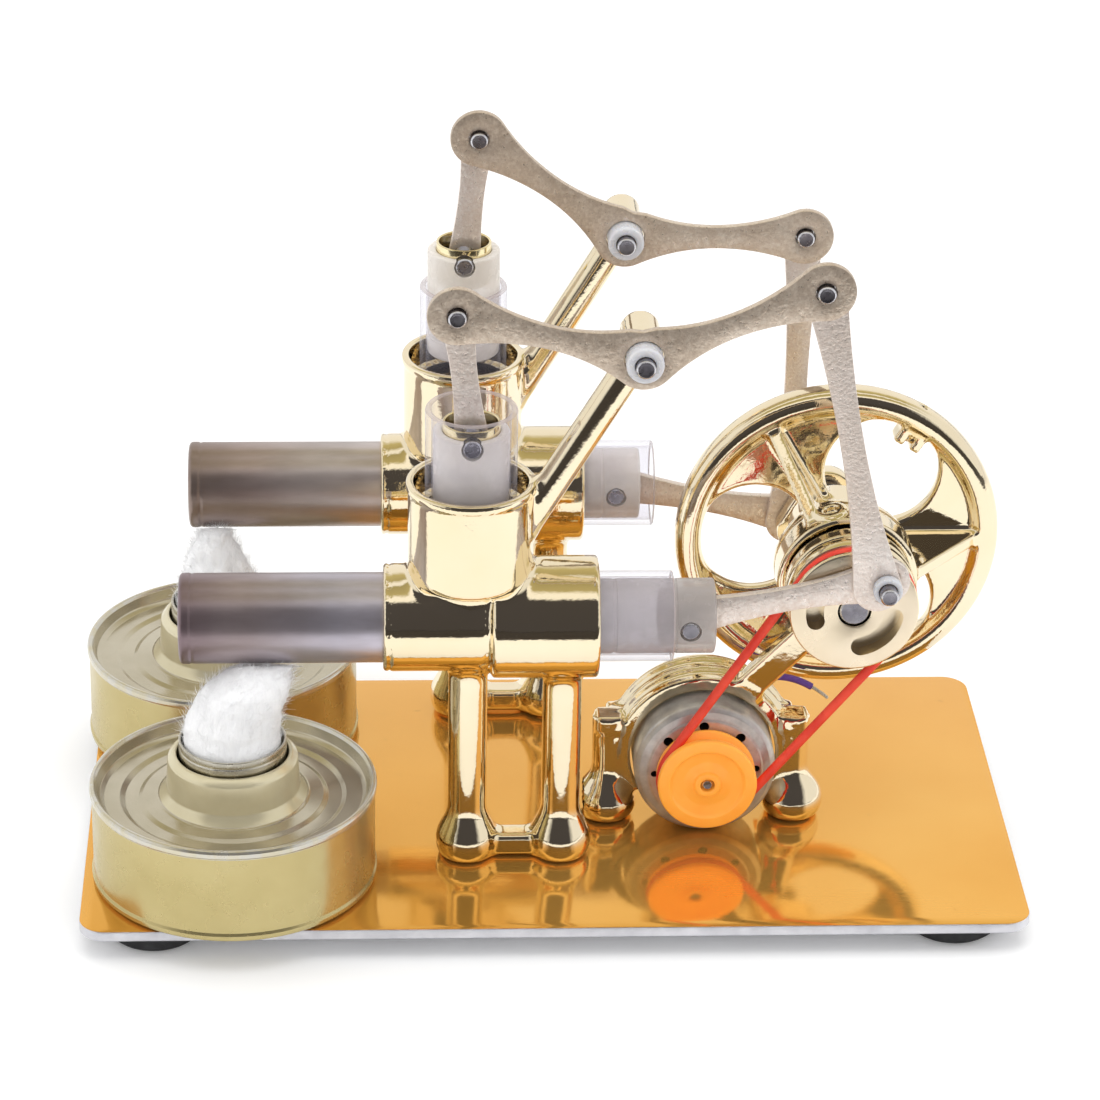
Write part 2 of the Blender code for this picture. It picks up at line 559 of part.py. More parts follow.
def make_beam(side, pins):
    y = UNIT_Y[side]
    pivot = at(PIVOT, y)
    holes = [(0.0, 0.0, 3.4)]
    holes += [(pins[end][0] - PIVOT[0], pins[end][1] - PIVOT[1], PIN_R + GAP)
              for end in ("left", "right")]
    plate(f"{side}_beam", rotate_points(beam_outline(), pins["rock"]), holes, SHEET_T, SHEET,
          at(PIVOT, y + BEAM_LAYER))
    rod(f"{side}_beam_pivot_pin", PIVOT_R, -9.2, 6.0, STEEL, pivot, 12)
    bore = PIVOT_R + GAP
    bush = [(bore, -7.8), (2.9, -7.8), (3.1, -7.6), (3.1, -3.5), (bore, -3.5)]
    turned(f"{side}_beam_bush", bush, NYLON, pivot, ALONG_Y, 20)
    for end, pin_rear in (("left", -0.6), ("right", -1.4)):
        rod(f"{side}_beam_end_pin_{end}", PIN_R, -6.2, pin_rear, STEEL, at(pins[end], y), 12)


def make_crank_pin(side, pins):
    crank = at(pins["crank"], UNIT_Y[side])
    rod(f"{side}_crank_pin", PIN_R, *CRANK_PIN_ENDS[side], STEEL, crank, 12)
    tube(f"{side}_crank_pin_bush", PIN_R + GAP, CRANK_BUSH_R, *CRANK_BUSH_ENDS[side], NYLON,
         crank, ALONG_Y, 16)


def make_unit(side):
    pins = linkage(side)
    make_block(side)
    make_tubes(side)
    make_pistons(side, pins)
    make_links(side, pins)
    make_beam(side, pins)
    make_crank_pin(side, pins)


# ---------------------------------------------------------------- shaft line
SHAFT_AT = at(SHAFT, 0.0)


def slot_helper(name, start, end):
    """Curved pocket with round ends in the crank pulley's front face."""
    middle, half = (SLOT_IN_R + SLOT_OUT_R) / 2, (SLOT_OUT_R - SLOT_IN_R) / 2

    def round_end(angle, first):
        return arc(middle * math.cos(angle), middle * math.sin(angle), half, first,
                   first + math.pi, 3)[1:-1]

    outline = arc(0.0, 0.0, SLOT_OUT_R, start, end, 5) + round_end(end, end)
    outline += arc(0.0, 0.0, SLOT_IN_R, end, start, 5) + round_end(start, start + math.pi)
    y_middle = PULLEY_FRONT + (SLOT_DEPTH - CUT_OVER) / 2
    return plate(name, outline, [], SLOT_DEPTH + CUT_OVER, None, at(SHAFT, y_middle))


def make_crank_pulley():
    radius, front, rear, bore = PULLEY_R, PULLEY_FRONT, PULLEY_REAR, SHAFT_BORE_R
    groove_front, groove_rear = BELT_Y - GROOVE_HALF, BELT_Y + GROOVE_HALF
    profile = [(bore, front), (radius - 0.25, front), (radius, front + 0.25),
               (radius, groove_front - 0.1), (PULLEY_GROOVE_R, groove_front),
               (PULLEY_GROOVE_R, groove_rear), (radius, groove_rear + 0.1),
               (radius + 0.2, rear - 1.2), (radius + 0.2, rear - 0.25), (radius - 0.05, rear),
               (bore, rear)]
    pulley = turned("crank_pulley", profile, CASTING, SHAFT_AT, ALONG_Y, 24)
    for i, (start, end) in enumerate(SLOT_ANGLES):
        cut(pulley, slot_helper(f"pulley_c_slot{i}", math.radians(start), math.radians(end)))


def make_rear_crank_arm():
    """Boss round the shaft and an eye behind the rear crank pin."""
    side = math.acos((REAR_ARM_BOSS_R - REAR_ARM_EYE_R) / CRANK_R)
    outline = arc(CRANK_R, 0.0, REAR_ARM_EYE_R, -side, side, 8)
    outline += arc(0.0, 0.0, REAR_ARM_BOSS_R, side, 2 * math.pi - side, 12)
    plate("rear_crank_arm", rotate_points(outline, CRANK_ANGLE + math.pi),
          [(0.0, 0.0, SHAFT_BORE_R)], SHAFT_REAR - REAR_ARM_FRONT, CASTING,
          at(SHAFT, (REAR_ARM_FRONT + SHAFT_REAR) / 2))


def gusset(name, angle):
    """Tapering rib from the hub's front end out to the rim."""
    # (radius, Y)
    outline = [(7.7, HUB_FRONT + 0.8), (11.0, HUB_FRONT + 0.8), (25.2, WHEEL_Y - 1.8),
               (25.2, WHEEL_Y + 0.5), (7.7, WHEEL_Y + 0.5)]
    bm = bmesh.new()
    face = bm.faces.new([bm.verts.new((x * MM, y * MM, -GUSSET_T / 2 * MM)) for x, y in outline])
    extruded = bmesh.ops.extrude_face_region(bm, geom=[face])["geom"]
    bmesh.ops.translate(bm, verts=[v for v in extruded if isinstance(v, bmesh.types.BMVert)],
                        vec=(0.0, 0.0, GUSSET_T * MM))
    bmesh.ops.recalc_face_normals(bm, faces=bm.faces)
    return place(from_bmesh(name, bm), SHAFT_AT, (0.0, -angle, 0.0))


def make_flywheel():
    # rounded rim on a thin web
    join = math.asin(WEB_HALF / RIM_HALF_AXIAL)
    angles = [math.pi - join - (2 * math.pi - 2 * join) * i / 7 for i in range(8)]
    rim = [(WHEEL_R - RIM_HALF_RADIAL + RIM_HALF_RADIAL * math.cos(a),
            WHEEL_Y + RIM_HALF_AXIAL * math.sin(a)) for a in angles]
    profile = [(WEB_INNER_R, WHEEL_Y + WEB_HALF)] + rim + [(WEB_INNER_R, WHEEL_Y - WEB_HALF)]
    wheel = turned("flywheel", profile, CASTING, SHAFT_AT, ALONG_Y, 30)
    # three round openings in the web
    for i in range(3):
        angle = math.radians(60.0 + 120.0 * i)
        middle = (SHAFT[0] + WHEEL_HOLE_PITCH_R * math.cos(angle), 0.0,
                  SHAFT[1] + WHEEL_HOLE_PITCH_R * math.sin(angle))
        cut(wheel, rod(f"wheel_c_hole{i}", WHEEL_HOLE_R, WHEEL_Y - WHEEL_HOLE_HALF,
                       WHEEL_Y + WHEEL_HOLE_HALF, None, middle, 16))
    # hub drum and the narrower neck behind it
    hub = [(2.0, HUB_FRONT + 0.01), (HUB_R - 0.3, HUB_FRONT), (HUB_R, HUB_FRONT + 0.3),
           (HUB_R, 0.9), (HUB_R - 0.5, 1.5), (9.2, 3.6), (NECK_R, 6.0), (NECK_R, HUB_REAR - 0.4),
           (NECK_R - 0.4, HUB_REAR), (2.0, HUB_REAR)]
    add(wheel, turned("wheel_c_hub", hub, None, SHAFT_AT, ALONG_Y, 20))
    for i in range(3):
        add(wheel, gusset(f"wheel_c_rib{i}", math.radians(120.0 * i)))
    # radial boss inside the rim
    add(wheel, rod("wheel_c_lug", LUG_R, *LUG_ENDS, None, at(SHAFT, WHEEL_Y), 14,
                   rotation=(0.0, math.pi / 2 - LUG_ANGLE, 0.0), chamfer=0.3))
    # wide hollow from the front, shaft bore through the rest
    front, rear = HUB_FRONT - CUT_OVER, HUB_REAR + CUT_OVER
    hollow = [(0.0, front), (HUB_HOLLOW_R, front), (HUB_HOLLOW_R, HUB_HOLLOW_REAR),
              (SHAFT_BORE_R, HUB_HOLLOW_REAR), (SHAFT_BORE_R, rear), (0.0, rear)]
    cut(wheel, turned("wheel_c_hollow", hollow, None, SHAFT_AT, ALONG_Y, 16))


def make_shaft_line():
    rod("crankshaft", SHAFT_R, SHAFT_FRONT, SHAFT_REAR, STEEL, SHAFT_AT, 20, chamfer=0.3)
    make_crank_pulley()
    make_rear_crank_arm()
    make_flywheel()


# ---------------------------------------------------------------- motor, bracket, belt
MOTOR_AT = at(MOTOR, 0.0)


def make_motor_can():
    front, rear, radius, bore = CAN_FRONT, CAN_REAR, CAN_R, MOTOR_BORE_R
    profile = [(bore, front), (10.2, front), (10.5, front + 0.3), (radius - 0.7, front + 0.3),
               (radius, front + 1.0), (radius, rear - 0.8), (radius - 0.8, rear), (bore, rear)]
    can = turned("motor_can", profile, ZINC, MOTOR_AT, ALONG_Y, 20)
    for i in range(VENT_COUNT):
        angle = math.radians(VENT_START + 360.0 / VENT_COUNT * i)
        middle = (MOTOR[0] + VENT_PITCH_R * math.cos(angle), 0.0,
                  MOTOR[1] + VENT_PITCH_R * math.sin(angle))
        cut(can, rod(f"can_c_vent{i}", VENT_R, front - 1.0, front + VENT_DEPTH, None, middle, 6))


def make_motor_pulley():
    radius, front, rear, bore = MOTOR_PULLEY_R, MOTOR_PULLEY_FRONT, MOTOR_PULLEY_REAR, MOTOR_BORE_R
    groove_front, groove_rear = BELT_Y - GROOVE_HALF, BELT_Y + GROOVE_HALF
    profile = [(bore, front), (2.0, front), (2.1, front + 0.6), (6.3, front + 0.6),
               (6.4, front), (radius, front), (radius, groove_front - 0.1),
               (MOTOR_GROOVE_R, groove_front), (MOTOR_GROOVE_R, groove_rear),
               (radius, groove_rear + 0.05), (radius, rear), (bore, rear)]
    turned("motor_pulley", profile, ORANGE, MOTOR_AT, ALONG_Y, 20)


def bracket_strut(name):
    """Bar from the horseshoe's right shoulder to the bearing ring."""
    dx, dz = SHAFT[0] - STRUT_START[0], SHAFT[1] - STRUT_START[1]
    line = math.hypot(dx, dz)
    far = line - STRUT_SHORT
    share = (STRUT_NEAR + far) / 2 / line
    middle = (STRUT_START[0] + dx * share, STRUT_Y, STRUT_START[1] + dz * share)
    strut = box_helper(name, (STRUT_X, STRUT_T, far - STRUT_NEAR), middle,
                       (0.0, math.atan2(dx, dz), 0.0))
    # its foot leans back so that its front runs into the horseshoe's front face
    for vertex in strut.data.vertices:
        if vertex.co.z < 0.0:
            vertex.co.y += STRUT_LEAN * MM
    return strut


def make_bracket():
    # horseshoe round the can: a ring cut off level near the plate
    shoulder = [(SHOE_R, SHOE_FRONT), (SHOE_R + 2.4, SHOE_FRONT), (SHOE_R + 2.4, SHOE_FRONT + 1.6),
                (SHOE_R + 3.4, SHOE_FRONT + 2.4), (SHOE_R + 3.4, SHOE_REAR), (SHOE_R, SHOE_REAR)]
    bracket = turned("bearing_bracket", shoulder, CASTING, MOTOR_AT, ALONG_Y, 32)
    cut(bracket, box_helper("br_c_foot_cut", SHOE_CUT_SIZE,
                            (MOTOR[0], COLUMN_Y, SHOE_CUT_TOP - SHOE_CUT_SIZE[2] / 2)))
    for i, dx in enumerate(COLUMN_DX):
        add(bracket, domed_leg(f"br_c_leg{i}", MOTOR[0] + dx, COLUMN_Y, COLUMN_R, COLUMN_TOP))
    add(bracket, bracket_strut("br_c_strut"))
    ring = [(0.0, -11.4), (10.9, -11.4), (11.2, -11.1), (11.2, -8.5), (10.9, -8.2),
            (6.6, -8.2), (6.6, 1.6), (0.0, 1.6)]
    add(bracket, turned("br_c_ring", ring, None, SHAFT_AT, ALONG_Y, 22))
    cut(bracket, rod("br_c_bore", BEARING_HOLE_R, -14.0, 4.0, None, SHAFT_AT, 18))
    # nothing of the bracket may reach the can
    cut(bracket, rod("br_c_can_room", CAN_R + 0.35, -14.0, 6.0, None, MOTOR_AT, 32))


def make_belt():
    """Two arcs and two straight runs in one plane."""
    dx, dz = MOTOR[0] - SHAFT[0], MOTOR[1] - SHAFT[1]
    line = math.atan2(dz, dx)
    lean = math.acos((CRANK_BELT_R - MOTOR_BELT_R) / math.hypot(dx, dz))
    path = arc(*SHAFT, CRANK_BELT_R, line + lean, line - lean + 2 * math.pi, 14)
    path += arc(*MOTOR, MOTOR_BELT_R, line - lean, line + lean, 9)
    cord("drive_belt", [at(point, 0.0) for point in path], BELT_R, RED_RUBBER,
         (0.0, BELT_Y, 0.0), closed=True)


def make_lead():
    """Lead that leaves the back of the can, rises and comes down on the right."""
    # Bezier control points (x, y, z)
    controls = [Vector(p) for p in ((31.5, -0.5, 17.0), (32.5, 2.4, 20.0), (38.0, 4.6, 23.6),
                                    (43.4, 4.4, 22.2), (49.2, 4.0, 17.4))]
    path = []
    for i in range(LEAD_STEPS + 1):
        level = controls
        while len(level) > 1:
            level = [a.lerp(b, i / LEAD_STEPS) for a, b in zip(level, level[1:])]
        path.append(level[0])
    cord("motor_lead", path, LEAD_R, PURPLE, (0.0, 0.0, 0.0), closed=False)


def make_motor():
    make_motor_can()
    rod("motor_shaft", MOTOR_SHAFT_R, MOTOR_PULLEY_FRONT + 0.2, CAN_REAR + 1.2, STEEL, MOTOR_AT, 12)
    make_motor_pulley()
    make_bracket()
    tube("shaft_bearing", SHAFT_BORE_R, BEARING_R, BEARING_FRONT, BEARING_REAR, BEARING,
         SHAFT_AT, ALONG_Y, 20)
    make_belt()
    make_lead()


# ---------------------------------------------------------------- burners
def make_burner_can(side):
    radius, height, lid, neck = BURNER_R, BURNER_H, LID_Z, NECK_TOP
    floor = GAP + BURNER_FLOOR_T
    profile = [
        # inside, from the floor up into the neck
        (0.0, floor), (radius - 1.1, floor), (radius - 0.9, lid - 0.6), (11.7, lid - 0.6),
        (10.7, lid + 1.0), (10.4, neck - 1.6), (9.6, neck - 0.7), (9.6, neck),
        # outside, down the neck, over the lid and rim and down the wall
        (10.2, neck - 0.1), (11.0, neck - 1.2), (11.3, lid + 1.2), (12.4, lid),
        (radius - 1.4, lid), (radius - 1.0, height), (radius - 0.2, height),
        (radius, height - 0.8), (radius - 0.3, height - 1.6), (radius - 0.3, 1.4),
        (radius - 0.9, GAP), (0.0, GAP)]
    turned(f"{side}_burner_can", profile, TINPLATE, (*BURNER[side], 0.0), ALONG_Z, 24)


def ring_edges(bm, ring):
    return [bm.edges.get(pair) or bm.edges.new(pair) for pair in zip(ring, ring[1:] + ring[:1])]


def make_wick(side):
    """Bundle that fills the sleeve, tapers above it and leans over to the right."""
    full, top, lean, inner_power, outer_power = WICK[side]
    bm = bmesh.new()
    last = None
    for k in range(WICK_RINGS + 1):
        z = WICK_LOW + (top - WICK_LOW) * k / WICK_RINGS
        above = max(0.0, (z - SLEEVE_TOP) / (top - SLEEVE_TOP))
        taper = max(0.0, 1.0 - above ** inner_power) ** outer_power
        radius = max(full * taper, WICK_MIN_R)
        circle = arc(lean * above ** WICK_LEAN_POWER, 0.0, radius, 0.0, 2 * math.pi,
                     WICK_SEGMENTS)[:-1]
        ring = [bm.verts.new((x * MM, y * MM, z * MM)) for x, y in circle]
        if last:
            bmesh.ops.bridge_loops(bm, edges=ring_edges(bm, last) + ring_edges(bm, ring))
        else:
            bm.faces.new(ring[::-1])
        last = ring
    bm.faces.new(last)
    bmesh.ops.recalc_face_normals(bm, faces=bm.faces)
    wick = place(from_bmesh(f"{side}_wick", bm, COTTON), (*BURNER[side], 0.0))
    smooth(wick, 60.0)


def make_burner(side):
    make_burner_can(side)
    tube(f"{side}_wick_sleeve", SLEEVE_R - SLEEVE_WALL, SLEEVE_R, SLEEVE_LOW, SLEEVE_TOP, SLEEVE,
         (*BURNER[side], 0.0), ALONG_Z, 20)
    make_wick(side)


make_base_plate()
make_feet()
for unit in ("front", "rear"):
    make_unit(unit)
    make_burner(unit)
make_shaft_line()
make_motor()
bpy.context.view_layer.update()
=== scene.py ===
"""A twin-cylinder hot-air engine on a gold base plate, with a flywheel, a belt-driven motor
and two spirit burners.

X runs left to right, Y front (-) to rear (+), Z up. Lengths are millimetres about the
middle of the plate's upper face; place() and place_all() turn them into frame metres.
Each of the two units has a horizontal hot cylinder, an upright cold one and a rocking beam.
"""

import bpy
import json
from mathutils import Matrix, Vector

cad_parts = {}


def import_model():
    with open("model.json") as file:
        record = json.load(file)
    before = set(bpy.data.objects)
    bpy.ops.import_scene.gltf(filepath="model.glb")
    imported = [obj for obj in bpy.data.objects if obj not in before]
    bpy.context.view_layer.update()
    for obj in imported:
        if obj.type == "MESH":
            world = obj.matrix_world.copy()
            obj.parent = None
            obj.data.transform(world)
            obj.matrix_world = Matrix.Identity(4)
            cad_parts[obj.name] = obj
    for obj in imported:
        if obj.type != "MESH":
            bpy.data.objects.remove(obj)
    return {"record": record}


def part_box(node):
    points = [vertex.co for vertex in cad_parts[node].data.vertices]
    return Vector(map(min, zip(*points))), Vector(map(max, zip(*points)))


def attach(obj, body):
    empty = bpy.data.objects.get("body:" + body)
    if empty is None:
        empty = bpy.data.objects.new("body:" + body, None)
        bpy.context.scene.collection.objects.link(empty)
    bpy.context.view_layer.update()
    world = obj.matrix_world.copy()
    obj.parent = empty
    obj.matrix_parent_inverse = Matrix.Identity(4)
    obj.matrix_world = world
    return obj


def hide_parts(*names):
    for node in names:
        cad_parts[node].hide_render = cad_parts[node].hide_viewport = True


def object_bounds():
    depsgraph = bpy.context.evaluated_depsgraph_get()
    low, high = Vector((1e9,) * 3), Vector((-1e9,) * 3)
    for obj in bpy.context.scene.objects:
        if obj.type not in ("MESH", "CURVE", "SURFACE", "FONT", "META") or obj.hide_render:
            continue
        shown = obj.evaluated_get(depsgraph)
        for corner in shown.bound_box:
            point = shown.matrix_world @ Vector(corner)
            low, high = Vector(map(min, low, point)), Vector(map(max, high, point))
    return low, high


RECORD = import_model()["record"]

import itertools
import json
import math
import random

import bmesh
import bpy
import numpy as np
from mathutils import Matrix, Vector

random.seed(7)
CAD_BOX = [list(map(float, c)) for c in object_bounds()]
MM = 0.001
plate_low, plate_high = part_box("base_plate")
ORIGIN = ((plate_low.x + plate_high.x) / 2, (plate_low.y + plate_high.y) / 2, plate_high.z)

# ============================================================ driving dimensions (mm)
SIDES = ("front", "rear")
UNIT_Y = {"front": -18.5, "rear": 32.6}     # middle plane of each unit
AXIS_Z = 45.6                               # height of the hot cylinder's axis
COLD_X = -14.4                              # place of the cold cylinder's axis
TUBE_R = 7.6                                # outer radius of heater and glass tubes
HEATER_END = -62.8
PISTON_R = 6.3
BEAM_PIVOT = (13.2, 94.6)                   # x, z
BEAM_ARM = 31.1
BEAM_RISE = math.radians(17.9)              # each arm's rise above level
SHAFT = (50.2, 45.7)                        # x, z
CRANK_R = 8.0
CRANK_ANGLE = math.radians(54.0)            # front crank; the rear one is opposite
LINK_L, ROD_L, COLD_L = 55.5, 33.4, 23.2    # crank link, hot rod and cold link, pin to pin
MOTOR = (26.55, 12.5)                       # x, z
BURNER = {"front": (-54.15, -23.7), "rear": (-57.2, 26.7)}   # x, y
CAN_R = 24.2
BELT_Y = -15.6
PLATE_X, PLATE_Y, PLATE_CORNER, PLATE_THICK = 79.75, 43.5, 4.5, 2.0   # X and Y are halves
CASTING_GRID = 0.42


def place(x, y, z):
    return Vector((ORIGIN[0] + x * MM, ORIGIN[1] + y * MM, ORIGIN[2] + z * MM))


def place_all(points):
    return np.array([ORIGIN]) + points * MM


# ============================================================ materials
class Shader:
    """A node tree with short ways to add, feed and link its nodes."""

    def __init__(self, owner):
        owner.use_nodes = True
        self.owner = owner
        self.tree = owner.node_tree
        self.surface = self.tree.nodes.get("Principled BSDF")
        self.normal = None

    def feed(self, socket, value):
        """Links another node's output, or sets a fixed value; colours are given as RGB."""
        if isinstance(value, bpy.types.NodeSocket):
            self.tree.links.new(value, socket)
        elif socket.type == "RGBA":
            socket.default_value = (*value, 1.0)
        else:
            socket.default_value = value

    def add(self, kind, inputs=None, **settings):
        node = self.tree.nodes.new("ShaderNode" + kind)
        for key, value in settings.items():
            setattr(node, key, value)
        for key, value in (inputs or {}).items():
            self.feed(node.inputs[key], value)
        return node

    def set(self, **values):
        """Feeds the principled surface: base_color feeds "Base Color", and so on."""
        for key, value in values.items():
            self.feed(self.surface.inputs[key.replace("_", " ").title()], value)

    def coords(self, scale=(1, 1, 1)):
        source = self.add("TexCoord").outputs["Object"]
        return self.add("Mapping", {"Scale": scale, "Vector": source}).outputs["Vector"]

    def noise(self, where, scale, detail=3.0, roughness=0.55, distortion=0.0):
        return self.add("TexNoise", {"Scale": scale, "Detail": detail, "Roughness": roughness,
                                     "Distortion": distortion, "Vector": where}).outputs["Fac"]

    def ramp(self, factor, stops):
        """Colour ramp through (position, RGB) stops, two or more."""
        node = self.add("ValToRGB", {"Fac": factor})
        stops = list(stops)
        elements = node.color_ramp.elements
        while len(elements) < len(stops):
            elements.new(0.5)
        for element, (position, colour) in zip(elements, stops):
            element.position = position
            element.color = (*colour, 1.0)
        return node.outputs["Color"]

    def span(self, value, source, target):
        return self.add("MapRange", {
            "From Min": source[0], "From Max": source[1], "To Min": target[0],
            "To Max": target[1], "Value": value}).outputs["Result"]

    def math(self, operation, *values):
        return self.add("Math", dict(enumerate(values)), operation=operation).outputs[0]

    def vector(self, operation, *values, output="Vector"):
        node = self.add("VectorMath", dict(enumerate(values)), operation=operation)
        return node.outputs[output]

    def mix(self, factor, first, second, blend="MIX"):
        return self.add("Mix", {"Factor": factor, 6: first, 7: second},
                        data_type="RGBA", blend_type=blend).outputs[2]

    def bump(self, height, strength, distance):
        """Each bump lies on top of the one before it."""
        node = self.add("Bump", {"Strength": strength, "Distance": distance, "Height": height})
        if self.normal is not None:
            self.feed(node.inputs["Normal"], self.normal)
        self.normal = node.outputs["Normal"]
        self.set(normal=self.normal)

    def show_through(self, factor, tint):
        """Mixes tinted clearness (factor 0) with the principled surface (factor 1)."""
        clear = self.add("BsdfTransparent", {"Color": tint})
        node = self.add("MixShader", {"Fac": factor, 1: clear.outputs["BSDF"],
                                      2: self.surface.outputs["BSDF"]})
        self.feed(self.tree.nodes["Material Output"].inputs["Surface"], node.outputs["Shader"])


MIDDLE = (0.3, 0.7)     # the part of a noise's range that most of it falls in


def new_shader(name):
    return Shader(bpy.data.materials.new(name))


def metal(name, colours, roughness, grain, bump, bump_grain, stretch=(1, 1, 1), depth=0.0001):
    """Metal whose colour and roughness drift between two values, with a fine texture."""
    s = new_shader(name)
    spot = s.coords()
    s.set(base_color=s.ramp(s.noise(spot, scale=grain, detail=4.0), zip(MIDDLE, colours)),
          roughness=s.span(s.noise(spot, scale=grain * 2.3), MIDDLE, roughness),
          metallic=1.0)
    fine = s.noise(s.coords(stretch), scale=bump_grain, detail=4.0, roughness=0.6)
    s.bump(fine, strength=bump, distance=depth)
    return s.owner


def sheet_metal(name, colours):
    """Stamped champagne sheet with the sparkle and pits of thin satin plating."""
    s = new_shader(name)
    spot = s.coords()
    base = s.ramp(s.noise(spot, scale=60.0, detail=4.0), zip((0.25, 0.55, 0.8), colours))
    sparkle = s.ramp(s.noise(spot, scale=1900.0, roughness=0.7), [
        (0.32, (0.20, 0.17, 0.13)), (0.50, (0.58, 0.52, 0.44)), (0.68, (1.0, 0.95, 0.86))])
    s.set(base_color=s.mix(0.5, base, sparkle, blend="SOFT_LIGHT"), metallic=0.70,
          roughness=s.span(s.noise(spot, scale=1300.0, detail=2.0), MIDDLE, (0.26, 0.52)))
    s.bump(s.noise(spot, scale=1300.0, roughness=0.65), strength=0.85, distance=0.00016)
    s.bump(s.noise(spot, scale=260.0), strength=0.15, distance=0.0002)
    return s.owner


def plate_film(name):
    """Mirror gold film: deep orange gold with fine streaks, specks and an uneven polish."""
    s = new_shader(name)
    spot = s.coords()
    streak = s.noise(s.coords((1.0, 14.0, 1.0)), scale=260.0, detail=4.0, roughness=0.6)
    gold = s.ramp(s.noise(spot, scale=22.0), [
        (0.2, (0.82, 0.40, 0.065)), (0.55, (0.90, 0.47, 0.095)), (0.85, (0.96, 0.54, 0.13))])
    specks = s.ramp(s.noise(spot, scale=420.0, detail=2.0, roughness=0.8),
                    [(0.22, (0.45, 0.45, 0.45)), (0.30, (1, 1, 1))])
    s.set(base_color=s.mix(0.35, gold, specks, blend="MULTIPLY"), metallic=0.72,
          roughness=s.span(streak, (0.3, 0.75), (0.045, 0.13)))
    s.bump(streak, strength=0.035, distance=0.0001)
    s.bump(s.noise(spot, scale=55.0), strength=0.05, distance=0.0006)
    return s.owner


def heater_metal(name, left, middle, right):
    """Heat-tinted tube: temper colours run along it, under faint turning marks."""
    s = new_shader(name)
    split = s.add("SeparateXYZ", {0: s.add("TexCoord").outputs["Object"]})
    tinted = (ORIGIN[0] + HEATER_END * MM, ORIGIN[0] - 28.0 * MM)
    along = s.span(split.outputs["X"], tinted, (0.0, 1.0))
    cloud = s.noise(s.coords((1, 0.6, 0.6)), scale=55.0, detail=4.0)
    wavy = s.math("ADD", along, s.span(cloud, (0.2, 0.8), (-0.14, 0.14)))
    bright = tuple(min(1.0, c * 1.25) for c in right)
    temper = s.ramp(wavy, [(0.0, left), (0.30, middle), (0.72, right), (1.0, bright)])
    grime = s.ramp(s.noise(s.coords((0.25, 1, 1)), scale=420.0),
                   [(0.3, (0.72, 0.70, 0.68)), (0.65, (1, 1, 1))])
    s.set(base_color=s.mix(0.6, temper, grime, blend="MULTIPLY"), metallic=0.85,
          roughness=s.span(cloud, MIDDLE, (0.30, 0.42)))
    s.bump(s.noise(s.coords((30, 1, 1)), scale=90.0), strength=0.12, distance=0.00008)
    return s.owner


def facing(shader):
    return shader.add("LayerWeight", {"Blend": 0.5}).outputs["Facing"]


def glass(name, face, tint):
    """Thin clear tube: pale reflecting edges, clear seen face on (face adds cloudiness).
    It throws no surface shadow."""
    s = new_shader(name)
    spot = s.coords()
    s.set(base_color=tint,
          roughness=s.span(s.noise(spot, scale=160.0), (0.35, 0.75), (0.03, 0.10)))
    s.bump(s.noise(spot, scale=70.0, detail=2.0), strength=0.04, distance=0.0002)
    clear = s.ramp(s.noise(spot, scale=90.0), zip(MIDDLE, ((0.945, 0.94, 0.965),
                                                         (0.975, 0.975, 0.985))))
    edge = s.ramp(facing(s), [(0.0, (0.03 + face,) * 3), (0.55, (0.07 + face,) * 3),
                              (0.82, (0.28 + face * 0.6,) * 3), (1.0, (0.88,) * 3)])
    unshadowed = s.math("SUBTRACT", 1.0, s.add("LightPath").outputs["Is Shadow Ray"])
    s.show_through(s.math("MULTIPLY", edge, unshadowed), tint=clear)
    return s.owner


def plastic(name, colours, roughness, grain, bump=0.0, bump_grain=0.0, scatter=0.0,
            transmission=0.0, glow=None, opacity=None):
    """Plastic or rubber. glow is (RGB, strength) of a painted glow: emission that stands in
    for light scattered back out; opacity, seen face on, makes it milky and translucent."""
    s = new_shader(name)
    spot = s.coords()
    s.set(base_color=s.ramp(s.noise(spot, scale=grain, detail=4.0), zip(MIDDLE, colours)),
          roughness=s.span(s.noise(spot, scale=grain * 3), MIDDLE, roughness),
          transmission_weight=transmission)
    if scatter:
        s.set(subsurface_weight=scatter, subsurface_radius=(0.0022, 0.0018, 0.0014),
              subsurface_scale=1.0)
    if bump:
        s.bump(s.noise(spot, scale=bump_grain), strength=bump, distance=0.0001)
    # painted glow: emission that lights the part up with no lamp
    if glow:
        s.set(emission_color=glow[0], emission_strength=glow[1])
    if opacity:
        edge_on = min(1.0, opacity + 0.35)
        s.show_through(s.span(facing(s), (0.0, 1.0), (opacity, edge_on)),
                       tint=(0.93, 0.92, 0.91))
    return s.owner


def piston_nylon(name, colours, opacity):
    return plastic(name, colours, roughness=(0.2, 0.32), grain=120.0, bump=0.03,
                   bump_grain=500.0, opacity=opacity)


